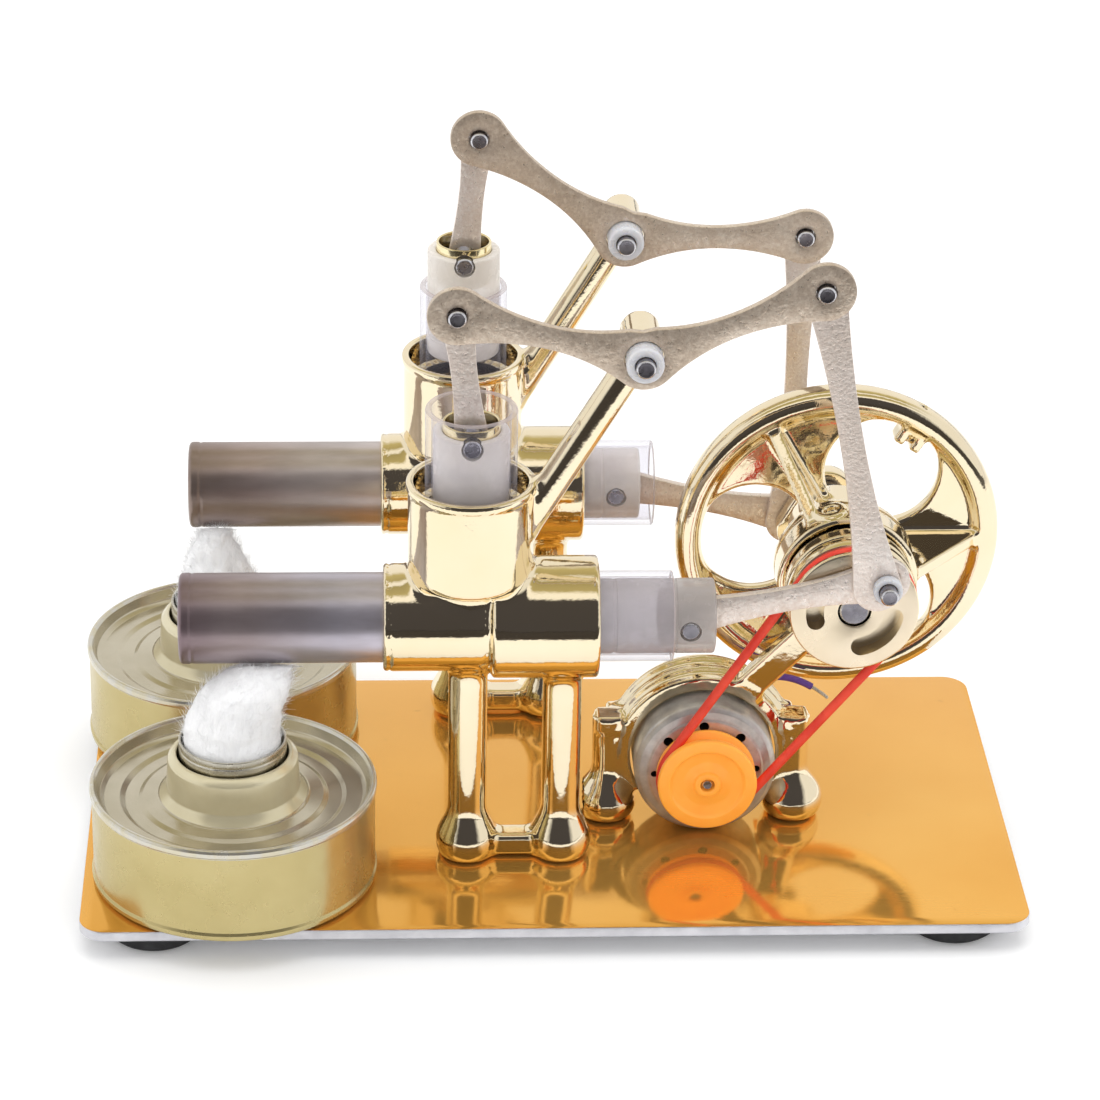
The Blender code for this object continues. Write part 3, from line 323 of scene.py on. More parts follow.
def can_metal(name):
    """Zinc-plated motor can: mottled grey with a coppery cast inside the raised ring."""
    s = new_shader(name)
    spot = s.coords()
    mottle = s.noise(spot, scale=380.0, detail=4.0, roughness=0.6)
    grey = s.ramp(mottle, zip(MIDDLE, ((0.47, 0.455, 0.44), (0.68, 0.66, 0.63))))
    copper = s.ramp(mottle, zip(MIDDLE, ((0.50, 0.33, 0.27), (0.72, 0.54, 0.47))))
    centre = place(MOTOR[0], 0, MOTOR[1])
    offset = s.vector("SUBTRACT", s.add("TexCoord").outputs["Object"],
                      (centre.x, 0.0, centre.z))
    radius = s.vector("LENGTH", s.vector("MULTIPLY", offset, (1.0, 0.0, 1.0)),
                      output="Value")
    inside = s.span(radius, (9.6 * MM, 10.4 * MM), (1.0, 0.0))
    patches = s.span(s.noise(spot, scale=90.0), MIDDLE, (0.15, 0.95))
    s.set(base_color=s.mix(s.math("MULTIPLY", inside, patches), grey, copper),
          metallic=0.72, roughness=s.span(s.noise(spot, scale=700.0), MIDDLE, (0.32, 0.48)))
    s.bump(s.noise(spot, scale=900.0), strength=0.12, distance=0.0001)
    return s.owner


def tin(name, colours, roughness, metallic=0.80, worn=False):
    """Olive-gold lacquer over tinplate, a little cloudy, with faint rolling marks."""
    s = new_shader(name)
    spot = s.coords()
    colour = s.ramp(s.noise(spot, scale=45.0, detail=5.0, roughness=0.6),
                    zip((0.25, 0.5, 0.78), colours))
    if worn:
        wear = s.ramp(s.noise(s.coords((1, 1, 0.3)), scale=330.0, detail=4.0, roughness=0.7),
                      [(0.42, (0, 0, 0)), (0.56, (1, 1, 1))])
        bare = s.add("SeparateColor", {0: wear}).outputs[0]
        colour = s.mix(bare, colour, (0.66, 0.635, 0.57))
    s.set(base_color=colour, metallic=metallic,
          roughness=s.span(s.noise(spot, scale=170.0, detail=4.0), MIDDLE, roughness))
    s.bump(s.noise(s.coords((1, 1, 0.15)), scale=260.0), strength=0.06, distance=0.0001)
    s.bump(s.noise(spot, scale=1200.0, detail=2.0), strength=0.08, distance=0.00006)
    return s.owner


def cotton(name):
    """Bleached cotton: nearly white, with soft painted shade between the fibre bundles and a
    faint painted glow from its emission.
    """
    s = new_shader(name)
    bundles = s.noise(s.coords((1.0, 1.0, 0.22)), scale=900.0, detail=5.0, roughness=0.7,
                      distortion=0.6)
    s.set(base_color=s.ramp(bundles, [(0.25, (0.83, 0.83, 0.845)), (0.5, (0.93, 0.93, 0.94)),
                                      (0.75, (0.98, 0.98, 0.985))]),
          roughness=0.95, sheen_weight=0.5, sheen_roughness=0.6,
          subsurface_weight=0.35, subsurface_radius=(0.003, 0.003, 0.003),
          # painted glow: a faint white emission brightens the cotton without any lamp
          subsurface_scale=1.0, emission_color=(0.96, 0.97, 1.0), emission_strength=0.03)
    s.bump(bundles, strength=0.45, distance=0.00035)
    fibres = s.noise(s.coords((1, 1, 0.1)), scale=2600.0, detail=4.0, roughness=0.7)
    s.bump(fibres, strength=0.5, distance=0.0002)
    return s.owner


MAT = {
    "cast": metal("gold_chrome", ((0.92, 0.79, 0.54), (0.97, 0.85, 0.635)),
                  roughness=(0.03, 0.08), grain=45.0, bump=0.26, bump_grain=520.0,
                  depth=0.00012),
    "cast_face": metal("gold_chrome_face", ((0.87, 0.74, 0.54), (0.94, 0.82, 0.64)),
                       roughness=(0.24, 0.36), grain=60.0, bump=0.16, bump_grain=900.0),
    "steel": metal("blued_steel", ((0.20, 0.19, 0.22), (0.34, 0.33, 0.36)),
                   roughness=(0.22, 0.38), grain=400.0, bump=0.15, bump_grain=1500.0),
    "steel_rim": metal("bright_steel", ((0.60, 0.60, 0.64), (0.74, 0.74, 0.77)),
                       roughness=(0.18, 0.30), grain=400.0, bump=0.10, bump_grain=1500.0),
    "bearing": metal("plain_bearing_steel", ((0.55, 0.54, 0.52), (0.68, 0.67, 0.66)),
                     roughness=(0.22, 0.32), grain=200.0, bump=0.08, bump_grain=900.0),
    "sleeve": metal("wick_sleeve_steel", ((0.50, 0.47, 0.40), (0.72, 0.69, 0.60)),
                    roughness=(0.20, 0.36), grain=150.0, bump=0.2, bump_grain=600.0),
    "gold_cup": metal("gold_cup", ((0.90, 0.76, 0.42), (0.97, 0.86, 0.58)),
                      roughness=(0.08, 0.16), grain=120.0, bump=0.06, bump_grain=600.0),
    "sheet": sheet_metal("satin_plated_sheet", (
        (0.73, 0.63, 0.56), (0.83, 0.74, 0.69), (0.92, 0.85, 0.81))),
    "sheet_beam": sheet_metal("satin_plated_beam", (
        (0.52, 0.43, 0.35), (0.66, 0.56, 0.47), (0.80, 0.71, 0.62))),
    "plate": plate_film("mirror_gold_film"),
    "plate_edge": metal("cut_aluminium_edge", ((0.62, 0.62, 0.66), (0.80, 0.80, 0.84)),
                        roughness=(0.28, 0.45), grain=200.0, bump=0.25, bump_grain=900.0,
                        stretch=(1, 1, 6)),
    "heater_front": heater_metal("heat_tinted_tube_front", left=(0.27, 0.20, 0.22),
                                 middle=(0.41, 0.34, 0.35), right=(0.54, 0.51, 0.58)),
    "heater_rear": heater_metal("heat_tinted_tube_rear", left=(0.31, 0.24, 0.21),
                                middle=(0.47, 0.38, 0.36), right=(0.56, 0.50, 0.49)),
    "glass": glass("clear_tube_glass", face=0.0, tint=(0.70, 0.68, 0.78)),
    "glass_rim": glass("ground_glass_edge", face=0.5, tint=(0.50, 0.43, 0.42)),
    "nylon": plastic("natural_nylon", ((0.66, 0.66, 0.69), (0.75, 0.75, 0.78)),
                     roughness=(0.22, 0.36), grain=120.0, bump=0.06, bump_grain=700.0,
                     scatter=0.4, transmission=0.15),
    "piston": piston_nylon("piston_nylon", ((0.44, 0.40, 0.38), (0.56, 0.51, 0.49)),
                           opacity=0.52),
    "piston_cold": piston_nylon("cold_piston_nylon",
                                ((0.85, 0.79, 0.72), (0.93, 0.88, 0.82)), opacity=0.55),
    # the orange moulding carries a faint painted glow (emission) with its colour
    "orange": plastic("orange_moulding", ((0.98, 0.36, 0.04), (1.0, 0.43, 0.06)),
                      roughness=(0.28, 0.40), grain=160.0, bump=0.06, bump_grain=500.0,
                      scatter=0.25, glow=((1.0, 0.36, 0.05), 0.16)),
    "rubber": plastic("black_rubber", ((0.012, 0.012, 0.013), (0.030, 0.030, 0.032)),
                      roughness=(0.65, 0.85), grain=300.0, bump=0.35, bump_grain=1100.0),
    "belt": plastic("red_belt_rubber", ((0.72, 0.035, 0.018), (0.86, 0.075, 0.035)),
                    roughness=(0.42, 0.58), grain=300.0, bump=0.15, bump_grain=1500.0,
                    scatter=0.1),
    "lead": plastic("purple_insulation", ((0.10, 0.035, 0.26), (0.16, 0.07, 0.36)),
                    roughness=(0.30, 0.42), grain=500.0, bump=0.08, bump_grain=900.0),
    "wire": metal("tinned_wire", ((0.60, 0.52, 0.42), (0.80, 0.74, 0.66)),
                  roughness=(0.22, 0.35), grain=900.0, bump=0.3, bump_grain=2500.0),
    "can": can_metal("zinc_plated_can"),
    # near-black painted shadow lining the motor's vent holes
    "vent": plastic("vent_shadow", ((0.010, 0.010, 0.010), (0.020, 0.018, 0.016)),
                    roughness=(0.7, 0.9), grain=100.0),
    "tin": tin("lacquered_tinplate", (
        (0.50, 0.41, 0.18), (0.57, 0.475, 0.225), (0.66, 0.57, 0.31)),
        roughness=(0.20, 0.32)),
    "tin_lid": tin("lacquered_lid", (
        (0.48, 0.43, 0.31), (0.57, 0.52, 0.40), (0.67, 0.62, 0.50)),
        roughness=(0.14, 0.24)),
    # lighter, less metallic copy of the same lacquered tinplate: a painted highlight where the
    # neck catches the light
    "tin_neck_painted_highlight": tin("lacquered_neck_painted_highlight", (
        (0.62, 0.55, 0.36), (0.72, 0.65, 0.45), (0.82, 0.76, 0.58)),
        roughness=(0.16, 0.26), metallic=0.45),
    "tin_rim": tin("worn_rim", (
        (0.56, 0.51, 0.36), (0.66, 0.61, 0.47), (0.74, 0.70, 0.58)),
        roughness=(0.16, 0.28), worn=True),
    "cotton": cotton("bleached_cotton"),
}


# ============================================================ mesh helpers
def link(name, data):
    ob = bpy.data.objects.new(name, data)
    bpy.context.scene.collection.objects.link(ob)
    return ob


def smooth(mesh, sharp):
    """Smooth shading, with edges over the sharp angle (degrees, 0 for none) kept crisp."""
    mesh.shade_smooth()
    if sharp:
        mesh.set_sharp_from_angle(angle=math.radians(sharp))


def settle(ob, node, extra_slot=None):
    """Rides ob on the node's body. It stands for the node, unless extra_slot names the
    material slot of an added piece."""
    bodies = RECORD["behaviour"]["bodies"]
    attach(ob, next(name for name, nodes in bodies.items() if node in nodes))
    if extra_slot:
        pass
    else:
        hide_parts(node)
    return ob


def piece(name, node, verts, faces, mats, sharp, extra_slot=None):
    """Mesh object in frame coordinates, settled on its node."""
    mesh = bpy.data.meshes.new(name)
    mesh.from_pydata([tuple(v) for v in verts], [], [tuple(f) for f in faces])
    mesh.validate()
    ob = link(name, mesh)
    for key in ([mats] if isinstance(mats, str) else mats):
        mesh.materials.append(MAT[key])
    smooth(mesh, sharp)
    return settle(ob, node, extra_slot)


def turn_outward(mesh):
    bm = bmesh.new()
    bm.from_mesh(mesh)
    bmesh.ops.recalc_face_normals(bm, faces=bm.faces)
    bm.to_mesh(mesh)
    bm.free()


def band(first, second):
    """Quads between two closed rings of vertex numbers."""
    n = len(first)
    return [(first[k], first[(k + 1) % n], second[(k + 1) % n], second[k]) for k in range(n)]


def cut(ob, cutters, material=None):
    """Takes (verts, faces) solids out of a finished piece; a material lines the cuts."""
    tools = []
    for verts, faces in cutters:
        mesh = bpy.data.meshes.new("cutter")
        mesh.from_pydata([tuple(v) for v in verts], [], faces)
        turn_outward(mesh)
        tool = link("cutter", mesh)
        modifier = ob.modifiers.new("cut", "BOOLEAN")
        modifier.operation = "DIFFERENCE"
        modifier.solver = "EXACT"
        modifier.object = tool
        if material:
            mesh.materials.append(MAT[material])
            modifier.material_mode = "TRANSFER"
        tools.append(tool)
    bpy.context.view_layer.update()
    graph = bpy.context.evaluated_depsgraph_get()
    result = bpy.data.meshes.new_from_object(ob.evaluated_get(graph))
    ob.modifiers.clear()
    ob.data = result
    for tool in tools:
        bpy.data.objects.remove(tool)


def rounded(profile, default, steps):
    """Rounds the corners of a profile of (r, h[, radius]); also tells whether it is closed,
    that is, not ending on the axis at both ends."""
    n = len(profile)
    closed = not (profile[0][0] < 1e-6 and profile[-1][0] < 1e-6)
    out = []
    for i, point in enumerate(profile):
        radius = point[2] if len(point) > 2 else default
        corner = np.array(point[:2], float)
        if radius <= 0 or (not closed and i in (0, n - 1)):
            out.append(tuple(corner))
            continue
        back = np.array(profile[i - 1][:2], float) - corner
        ahead = np.array(profile[(i + 1) % n][:2], float) - corner
        back_len, ahead_len = np.linalg.norm(back), np.linalg.norm(ahead)
        back, ahead = back / back_len, ahead / ahead_len
        half = math.acos(float(np.clip(back @ ahead, -1, 1))) / 2
        if half > math.pi / 2 - 0.02:       # all but straight
            out.append(tuple(corner))
            continue
        reach = min(radius / math.tan(half), 0.48 * back_len, 0.48 * ahead_len)
        radius = reach * math.tan(half)
        bisector = (back + ahead) / np.linalg.norm(back + ahead)
        centre = corner + bisector * (radius / math.sin(half))
        start = math.atan2(*(corner + back * reach - centre)[::-1])
        end = math.atan2(*(corner + ahead * reach - centre)[::-1])
        sweep = (end - start + math.pi) % (2 * math.pi) - math.pi
        for k in range(steps + 1):
            a = start + sweep * k / steps
            out.append((centre[0] + radius * math.cos(a), centre[1] + radius * math.sin(a)))
    return out, closed


def lathe_data(profile, axis, at, segments, rounding=0.0, steps=3):
    """Vertices and faces of a shape turned about +X, +Y or +Z through at (mm)."""
    points, closed = rounded(profile, rounding, steps)
    m = len(points)
    area = sum(points[i][0] * points[(i + 1) % m][1] - points[(i + 1) % m][0] * points[i][1]
               for i in range(m))
    if area < 0:
        points = points[::-1]
    angles = np.linspace(0, 2 * math.pi, segments, endpoint=False)
    verts, rows = [], []
    for r, h in points:
        if r < 1e-6:
            rows.append([len(verts)])
            verts.append((0.0, 0.0, h))
        else:
            rows.append(list(range(len(verts), len(verts) + segments)))
            verts += [(r * math.cos(a), r * math.sin(a), h) for a in angles]
    faces = []
    for i in range(m if closed else m - 1):
        a, b = rows[i], rows[(i + 1) % m]
        if len(a) == 1 and len(b) == 1:
            continue
        if len(a) == 1:
            faces += [(a[0], b[(k + 1) % segments], b[k]) for k in range(segments)]
        elif len(b) == 1:
            faces += [(a[k], a[(k + 1) % segments], b[0]) for k in range(segments)]
        else:
            faces += band(a, b)
    verts = np.array(verts)
    if axis == "Y":
        verts = np.stack([verts[:, 0], verts[:, 2], -verts[:, 1]], 1)
    elif axis == "X":
        verts = np.stack([verts[:, 2], verts[:, 1], -verts[:, 0]], 1)
    return place_all(verts + np.array(at, float)), faces


def lathe(name, node, profile, axis, at, mats, segments=72, rounding=0.12, steps=3,
          pick=None, sharp=40.0, extra_slot=None):
    """Turned piece. pick(place from at in mm, normal) gives each face's material number."""
    verts, faces = lathe_data(profile, axis, at, segments, rounding, steps)
    ob = piece(name, node, verts, faces, mats, sharp, extra_slot)
    if pick:
        for face in ob.data.polygons:
            local = [(face.center[i] - ORIGIN[i]) / MM - at[i] for i in range(3)]
            face.material_index = pick(local, face.normal)
    return ob


def round_cutter(x, z, r, y0, y1, segments):
    return lathe_data([(0, y1), (r, y1), (r, y0), (0, y0)], "Y", (x, 0.0, z), segments)


def cross_drill(ob, x, y, z):
    """Round pin hole along Y, right through a piston."""
    cut(ob, [round_cutter(x, z, 1.8, y - 9.0, y + 9.0, segments=48)])
    smooth(ob.data, 40)


def pin(name, node, x, z, r, y0, y1):
    """Turned pin along Y whose ends are bright and slightly crowned."""
    edge = 0.28
    profile = [(0, y1), (r - edge, y1, 0.05), (r, y1 - edge, 0.08), (r, y0 + edge, 0.08),
               (r - edge, y0, 0.05), (r * 0.55, y0 + 0.05, 0.1), (0, y0 + 0.07)]

    def bright_chamfer(local, normal):
        return 1 if (r - edge - 0.02) < math.hypot(local[0], local[2]) < r - 0.02 else 0
    lathe(name, node, profile, "Y", (x, 0.0, z), ["steel", "steel_rim"], segments=40,
          rounding=0.0, pick=bright_chamfer, sharp=30.0)


def inset_outline(points, distance):
    """Moves a closed anticlockwise outline inwards."""
    points = np.array(points, float)
    along = np.roll(points, -1, 0) - np.roll(points, 1, 0)
    along /= np.linalg.norm(along, axis=1)[:, None]
    return points + np.stack([-along[:, 1], along[:, 0]], 1) * distance


def flat(name, node, outline, holes, y0, y1, mat, base, bevel=0.18):
    """Plate in the X-Z plane from y0 to y1 with softened edges and round (x, z, r) holes."""
    outline = np.array(outline, float)
    ahead = np.roll(outline, -1, 0)
    if np.sum(outline[:, 0] * ahead[:, 1] - ahead[:, 0] * outline[:, 1]) < 0:
        outline = outline[::-1]
    loops = [outline]
    angles = np.linspace(0, 2 * math.pi, 40, endpoint=False)
    for x, z, r in holes:
        loops.append(np.stack([x + r * np.cos(angles), z - r * np.sin(angles)], 1))
    sections = ((bevel, y0), (bevel * 0.3, y0 + bevel * 0.3), (0.0, y0 + bevel),
                (0.0, y1 - bevel), (bevel * 0.3, y1 - bevel * 0.3), (bevel, y1))
    bm = bmesh.new()
    front_edges, back_edges = [], []
    for points in loops:
        rings = [[bm.verts.new(place(base[0] + x, y, base[1] + z))
                  for x, z in inset_outline(points, inset)] for inset, y in sections]
        for first, second in zip(rings, rings[1:]):
            for quad in band(first, second):
                bm.faces.new(quad)
        for ring, edges in ((rings[0], front_edges), (rings[-1], back_edges)):
            edges += [bm.edges.get((ring[k], ring[(k + 1) % len(ring)]))
                      for k in range(len(ring))]
    for edges in (front_edges, back_edges):
        bmesh.ops.triangle_fill(bm, edges=edges, use_beauty=True, use_dissolve=False)
    bmesh.ops.recalc_face_normals(bm, faces=bm.faces)
    mesh = bpy.data.meshes.new(name)
    bm.to_mesh(mesh)
    bm.free()
    ob = link(name, mesh)
    mesh.materials.append(MAT[mat])
    smooth(mesh, 28)
    settle(ob, node)


def arc(cx, cy, r, start, end, n):
    return [(cx + r * math.cos(start + (end - start) * i / n),
             cy + r * math.sin(start + (end - start) * i / n)) for i in range(n + 1)]


def bone_half(length, start_r, end_r, neck, steps=14):
    """Upper edge between two round ends, waisted to neck half way along, and the angles at
    which it meets the ends."""
    mid = 0.5 * length
    fillet_a = (mid * mid / (start_r - neck) - start_r - neck) / 2
    fillet_b = (mid * mid / (end_r - neck) - end_r - neck) / 2
    angle_a = math.atan2(neck + fillet_a, mid)
    angle_b = math.atan2(neck + fillet_b, mid)
    low = 1.5 * math.pi
    points = arc(mid, neck + fillet_a, fillet_a, angle_a + math.pi, low, steps)
    points += arc(length - mid, neck + fillet_b, fillet_b, low, 2 * math.pi - angle_b,
                  steps)[1:]
    return points, angle_a, math.pi - angle_b


def bone(length, start_r, end_r, neck):
    """Outline of a link with two round ends and a waist."""
    top, a, b = bone_half(length, start_r, end_r, neck)
    outline = top + arc(length, 0, end_r, b, -b, 28)[1:-1] + [(x, -y) for x, y in top[::-1]]
    return outline + arc(0, 0, start_r, -a, -(2 * math.pi - a), 28)[1:-1]


def turn(points, angle):
    c, s = math.cos(angle), math.sin(angle)
    return [(x * c - y * s, x * s + y * c) for x, y in points]


# ============================================================ castings from distance fields
def smin(a, b, k):
    """Union of two distances with a fillet of about k."""
    h = np.clip(0.5 + 0.5 * (b - a) / k, 0, 1)
    return b * (1 - h) + a * h - k * h * (1 - h)


def smax(a, b, k):
    return -smin(-a, -b, k)


def step(value, at, width, rise):
    """Soft step up by rise."""
    return rise / (1 + np.exp(-np.clip((value - at) / width, -40, 40)))


def bulge(value, at, width):
    return np.exp(-((value - at) / width) ** 2)


def cyl(points, axis, centre, r, low, high, edge=0.4):
    """Distance to a round bar along an axis from low to high; r may be an array."""
    i = "XYZ".index(axis)
    j, k = [n for n in range(3) if n != i]
    across = np.hypot(points[:, j] - centre[0], points[:, k] - centre[1]) - r + edge
    along = np.abs(points[:, i] - (low + high) / 2) - (high - low) / 2 + edge
    outside = np.hypot(np.maximum(across, 0), np.maximum(along, 0))
    return np.minimum(np.maximum(across, along), 0) + outside - edge


def rbox(points, centre, half, edge=0.4, rot=None):
    """Distance to a box with rounded edges."""
    local = points - np.array(centre, float)
    if rot is not None:
        local = local @ rot
    q = np.abs(local) - np.array(half, float) + edge
    return np.minimum(q.max(1), 0) + np.linalg.norm(np.maximum(q, 0), axis=1) - edge


def dome_leg(points, x, y, r, dome, top):
    """Round leg on a low domed foot."""
    z = points[:, 2]
    out = np.hypot(points[:, 0] - x, points[:, 1] - y)
    leg = np.maximum(out - r, np.maximum(z - top, 1.0 - z))
    ball = (np.sqrt((out / dome) ** 2 + ((z - 3.0) / 4.4) ** 2) - 1) * 4.4
    return smax(smin(leg, ball, 3.2), 0.35 - z, 0.5)


def surface(field, low, high, spacing):
    """Surface nets on a grid, then each point is moved onto the true surface."""
    low, high = np.array(low, float), np.array(high, float)
    count = np.ceil((high - low) / spacing).astype(int) + 1
    lines = [low[i] + spacing * np.arange(count[i]) for i in range(3)]
    grid = np.stack(np.meshgrid(*lines, indexing="ij"), -1).reshape(-1, 3)
    chunk = 200000
    dist = np.concatenate([field(grid[i:i + chunk]) for i in range(0, len(grid), chunk)])
    dist = dist.reshape(count)
    solid = dist < 0
    shape = count - 1
    total = np.zeros((*shape, 3))
    crossings = np.zeros(shape)
    # each cell's point is the mean of the crossings on its twelve edges
    for start in itertools.product((0, 1), repeat=3):
        for axis in range(3):
            if start[axis]:
                continue
            end = list(start)
            end[axis] = 1
            da, db = [dist[tuple(slice(c, c + size) for c, size in zip(corner, shape))]
                      for corner in (start, end)]
            cross = (da < 0) != (db < 0)
            t = np.where(cross, da / np.where(cross, da - db, 1.0), 0.0)
            for i in range(3):
                total[..., i] += np.where(cross, start[i] + (t if i == axis else 0.0), 0.0)
            crossings += cross
    active = crossings > 0
    index = -np.ones(shape, int)
    index[active] = np.arange(active.sum())
    verts = low + spacing * (np.argwhere(active) + total[active] / crossings[active][:, None])
    # one quad round each grid edge that goes through the surface
    faces = []
    for axis in range(3):
        j, k = [i for i in range(3) if i != axis]
        here, there = [slice(1, -1)] * 3, [slice(1, -1)] * 3
        here[axis] = slice(0, -1)
        there[axis] = slice(1, None)
        near, far = solid[tuple(here)], solid[tuple(there)]
        edges = np.argwhere(near != far)
        if not len(edges):
            continue
        inside = near[tuple(edges.T)]
        cell = edges + 1
        cell[:, axis] = edges[:, axis]
        corners = []
        for dj, dk in ((-1, -1), (0, -1), (0, 0), (-1, 0)):
            shifted = cell.copy()
            shifted[:, j] += dj
            shifted[:, k] += dk
            corners.append(index[tuple(shifted.T)])
        quads = np.stack(corners, 1)
        keep = inside if axis != 1 else ~inside
        quads[~keep] = quads[~keep][:, ::-1]
        faces.append(quads)
    e = 0.02
    for _ in range(4):
        d = field(verts)
        slope = np.stack([field(verts + e * np.eye(3)[i]) - field(verts - e * np.eye(3)[i])
                          for i in range(3)], 1) / (2 * e)
        steep = np.maximum((slope * slope).sum(1), 0.05)
        move = (d / steep)[:, None] * slope
        size = np.linalg.norm(move, axis=1)
        move *= np.minimum(1, 0.5 * spacing / np.maximum(size, 1e-9))[:, None]
        verts = verts - move
    return verts, np.concatenate(faces)


def cast(name, node, field, low, high, spacing=CASTING_GRID):
    verts, faces = surface(field, low, high, spacing)
    piece(name, node, place_all(verts), faces.tolist(), "cast", sharp=0)


# ---------------------------------------------------------------- cylinder blocks
def block_field(points):
    """One cylinder block, with its middle plane at y = 0."""
    x, y, z = points.T
    barrel_r = (9.02 + step(x, -10.9, 0.16, rise=1.23)
                - 0.25 * bulge(x, -11.7, 0.4) - 0.22 * bulge(x, -27.9, 0.3))
    barrel = cyl(points, "X", (0.0, AXIS_Z), barrel_r, -28.9, 7.0, 0.7)
    collar_r = 10.38 + step(z, 69.5, 0.12, rise=0.34)
    collar = smax(smax(np.hypot(x - COLD_X, y) - collar_r, z - 71.0, 0.5), 53.3 - z, 1.8)
    d = smin(barrel, cyl(points, "Z", (COLD_X, 0.0), 7.6, 46.0, 55.0, 0.5), 1.0)
    d = smin(d, collar, 1.7)
    for leg_x in (-14.6, 1.3):
        d = smin(d, dome_leg(points, leg_x, 0.0, 3.3, 5.2, 40.0), 2.4)
    # low bar between the feet
    d = smin(d, rbox(points, (-6.65, 0.0, 2.4), (6.0, 2.3, 2.0), 1.0), 1.2)
    # arm from the collar up to the beam pivot, and the pivot's boss
    foot = np.array((-6.5, 61.0))
    head = np.array(BEAM_PIVOT)
    u = (head - foot) / np.linalg.norm(head - foot)
    rot = np.array([[u[1], 0, u[0]], [0, 1, 0], [-u[0], 0, u[1]]])
    half_length = np.linalg.norm(head - foot) / 2
    middle = ((foot[0] + head[0]) / 2, 0.0, (foot[1] + head[1]) / 2)
    d = smin(d, rbox(points, middle, (2.6, 2.3, half_length), 2.15, rot), 1.6)
    d = smin(d, cyl(points, "Y", BEAM_PIVOT, 3.3, -3.2, 7.8, 0.5), 1.2)
    # bores for the tubes, narrower between them, and the pivot hole
    hot_r = np.where((x < -18.0) | (x > -1.5), 7.9, 6.9)
    hot = np.maximum(np.hypot(y, z - AXIS_Z) - hot_r, np.maximum(-31.0 - x, x - 9.0))
    cold_r = np.where(z > 66.0, 9.45, np.where(z > 57.5, 7.9, 6.6))
    cold = np.maximum(np.hypot(x - COLD_X, y) - cold_r, 46.2 - z)
    d = smax(d, -hot, 0.35)
    d = smax(d, -cold, 0.35)
    pivot = np.maximum(np.hypot(x - BEAM_PIVOT[0], z - BEAM_PIVOT[1]) - 1.85, y - 6.3)
    return smax(d, -pivot, 0.2)


for side in SIDES:
    unit_y = UNIT_Y[side]
    cast(side + "_casting", side + "_cylinder_block",
         lambda points: block_field(points - np.array((0.0, unit_y, 0.0))),
         (-31.0, unit_y - 12.2, -1.0), (18.0, unit_y + 12.2, 99.6))


# ---------------------------------------------------------------- flywheel
def spoke_axes(x, z, degrees):
    """Distances along and across a spoke direction."""
    a = math.radians(degrees)
    return x * math.cos(a) + z * math.sin(a), -x * math.sin(a) + z * math.cos(a)


def wheel_field(points):
    x, y, z = points[:, 0] - SHAFT[0], points[:, 1], points[:, 2] - SHAFT[1]
    r = np.hypot(x, z)
    rim_y = 11.6
    rim = ((np.abs(r - 25.95) / 2.25) ** 2.4 + (np.abs(y - rim_y) / 3.0) ** 2.4) ** (1 / 2.4)
    rim = (rim - 1) * 2.25
    # web with three large round windows
    web_half = 0.6 * np.clip((13.0 - r) / 6, 0, 1)
    web = np.maximum(np.abs(y - rim_y) - 1.25 - web_half, r - 25.5)
    for a in map(math.radians, (60, 180, 300)):
        window = 9.85 - np.hypot(x - 14.5 * math.cos(a), z - 14.5 * math.sin(a))
        web = smax(web, window, 0.9)
    d = smin(rim, web, 1.3)
    drum = np.interp(y, [-7.0, 1.0, 3.5, 6.0, 14.6], [12.0, 12.0, 9.3, 8.2, 8.2])
    drum = drum - 0.25 * bulge(y, -1.0, 0.4)
    hub = smax(r - drum, np.maximum(-7.0 - y, y - 14.6), 0.6) * 0.9
    d = smin(d, hub, 1.3)
    # three sloping ribs from hub to rim
    for degrees in (0, 120, 240):
        u, w = spoke_axes(x, z, degrees)
        front = np.maximum(-6.2, rim_y - 1.6 - (25.0 - u) * 1.12)
        rib = np.maximum(np.maximum(u - 25.4, 7.8 - u),
                         np.maximum(y - rim_y, -(y - front) / 1.45))
        d = smin(d, smax(rib, np.abs(w) - 1.15, 0.5), 1.1)
    # drilled boss on the hub
    u, w = spoke_axes(x, z, 104.0)
    boss = np.maximum(np.hypot(w, y + 3.4) - 2.6, np.maximum(u - 12.5, 8.0 - u))
    d = smin(d, boss, 0.9)
    d = smax(d, -np.maximum(np.hypot(w, y + 3.4) - 1.3, 11.4 - u), 0.2)
    # slotted and drilled lug inside the rim
    u, w = spoke_axes(x, z, 58.0)
    d = smin(d, rbox(np.stack([u, y - rim_y, w], 1), (22.9, 0, 0), (2.3, 2.2, 2.5), 0.5), 0.9)
    slot = rbox(np.stack([u, y - rim_y + 1.0, w], 1), (20.8, 0, 0.0), (1.9, 2.2, 0.75), 0.25)
    d = smax(d, -slot, 0.25)
    d = smax(d, -np.maximum(np.hypot(w - 1.0, y - rim_y) - 0.75, 26.6 - u), 0.2)
    # shaft hole, wide at the front
    return smax(d, -np.where(y < 2.2, r - 7.2, r - 2.8), 0.25)


WHEEL_REACH = 29.2
cast("flywheel_casting", "flywheel", wheel_field,
     (SHAFT[0] - WHEEL_REACH, -9.2, SHAFT[1] - WHEEL_REACH),
     (SHAFT[0] + WHEEL_REACH, 16.2, SHAFT[1] + WHEEL_REACH))


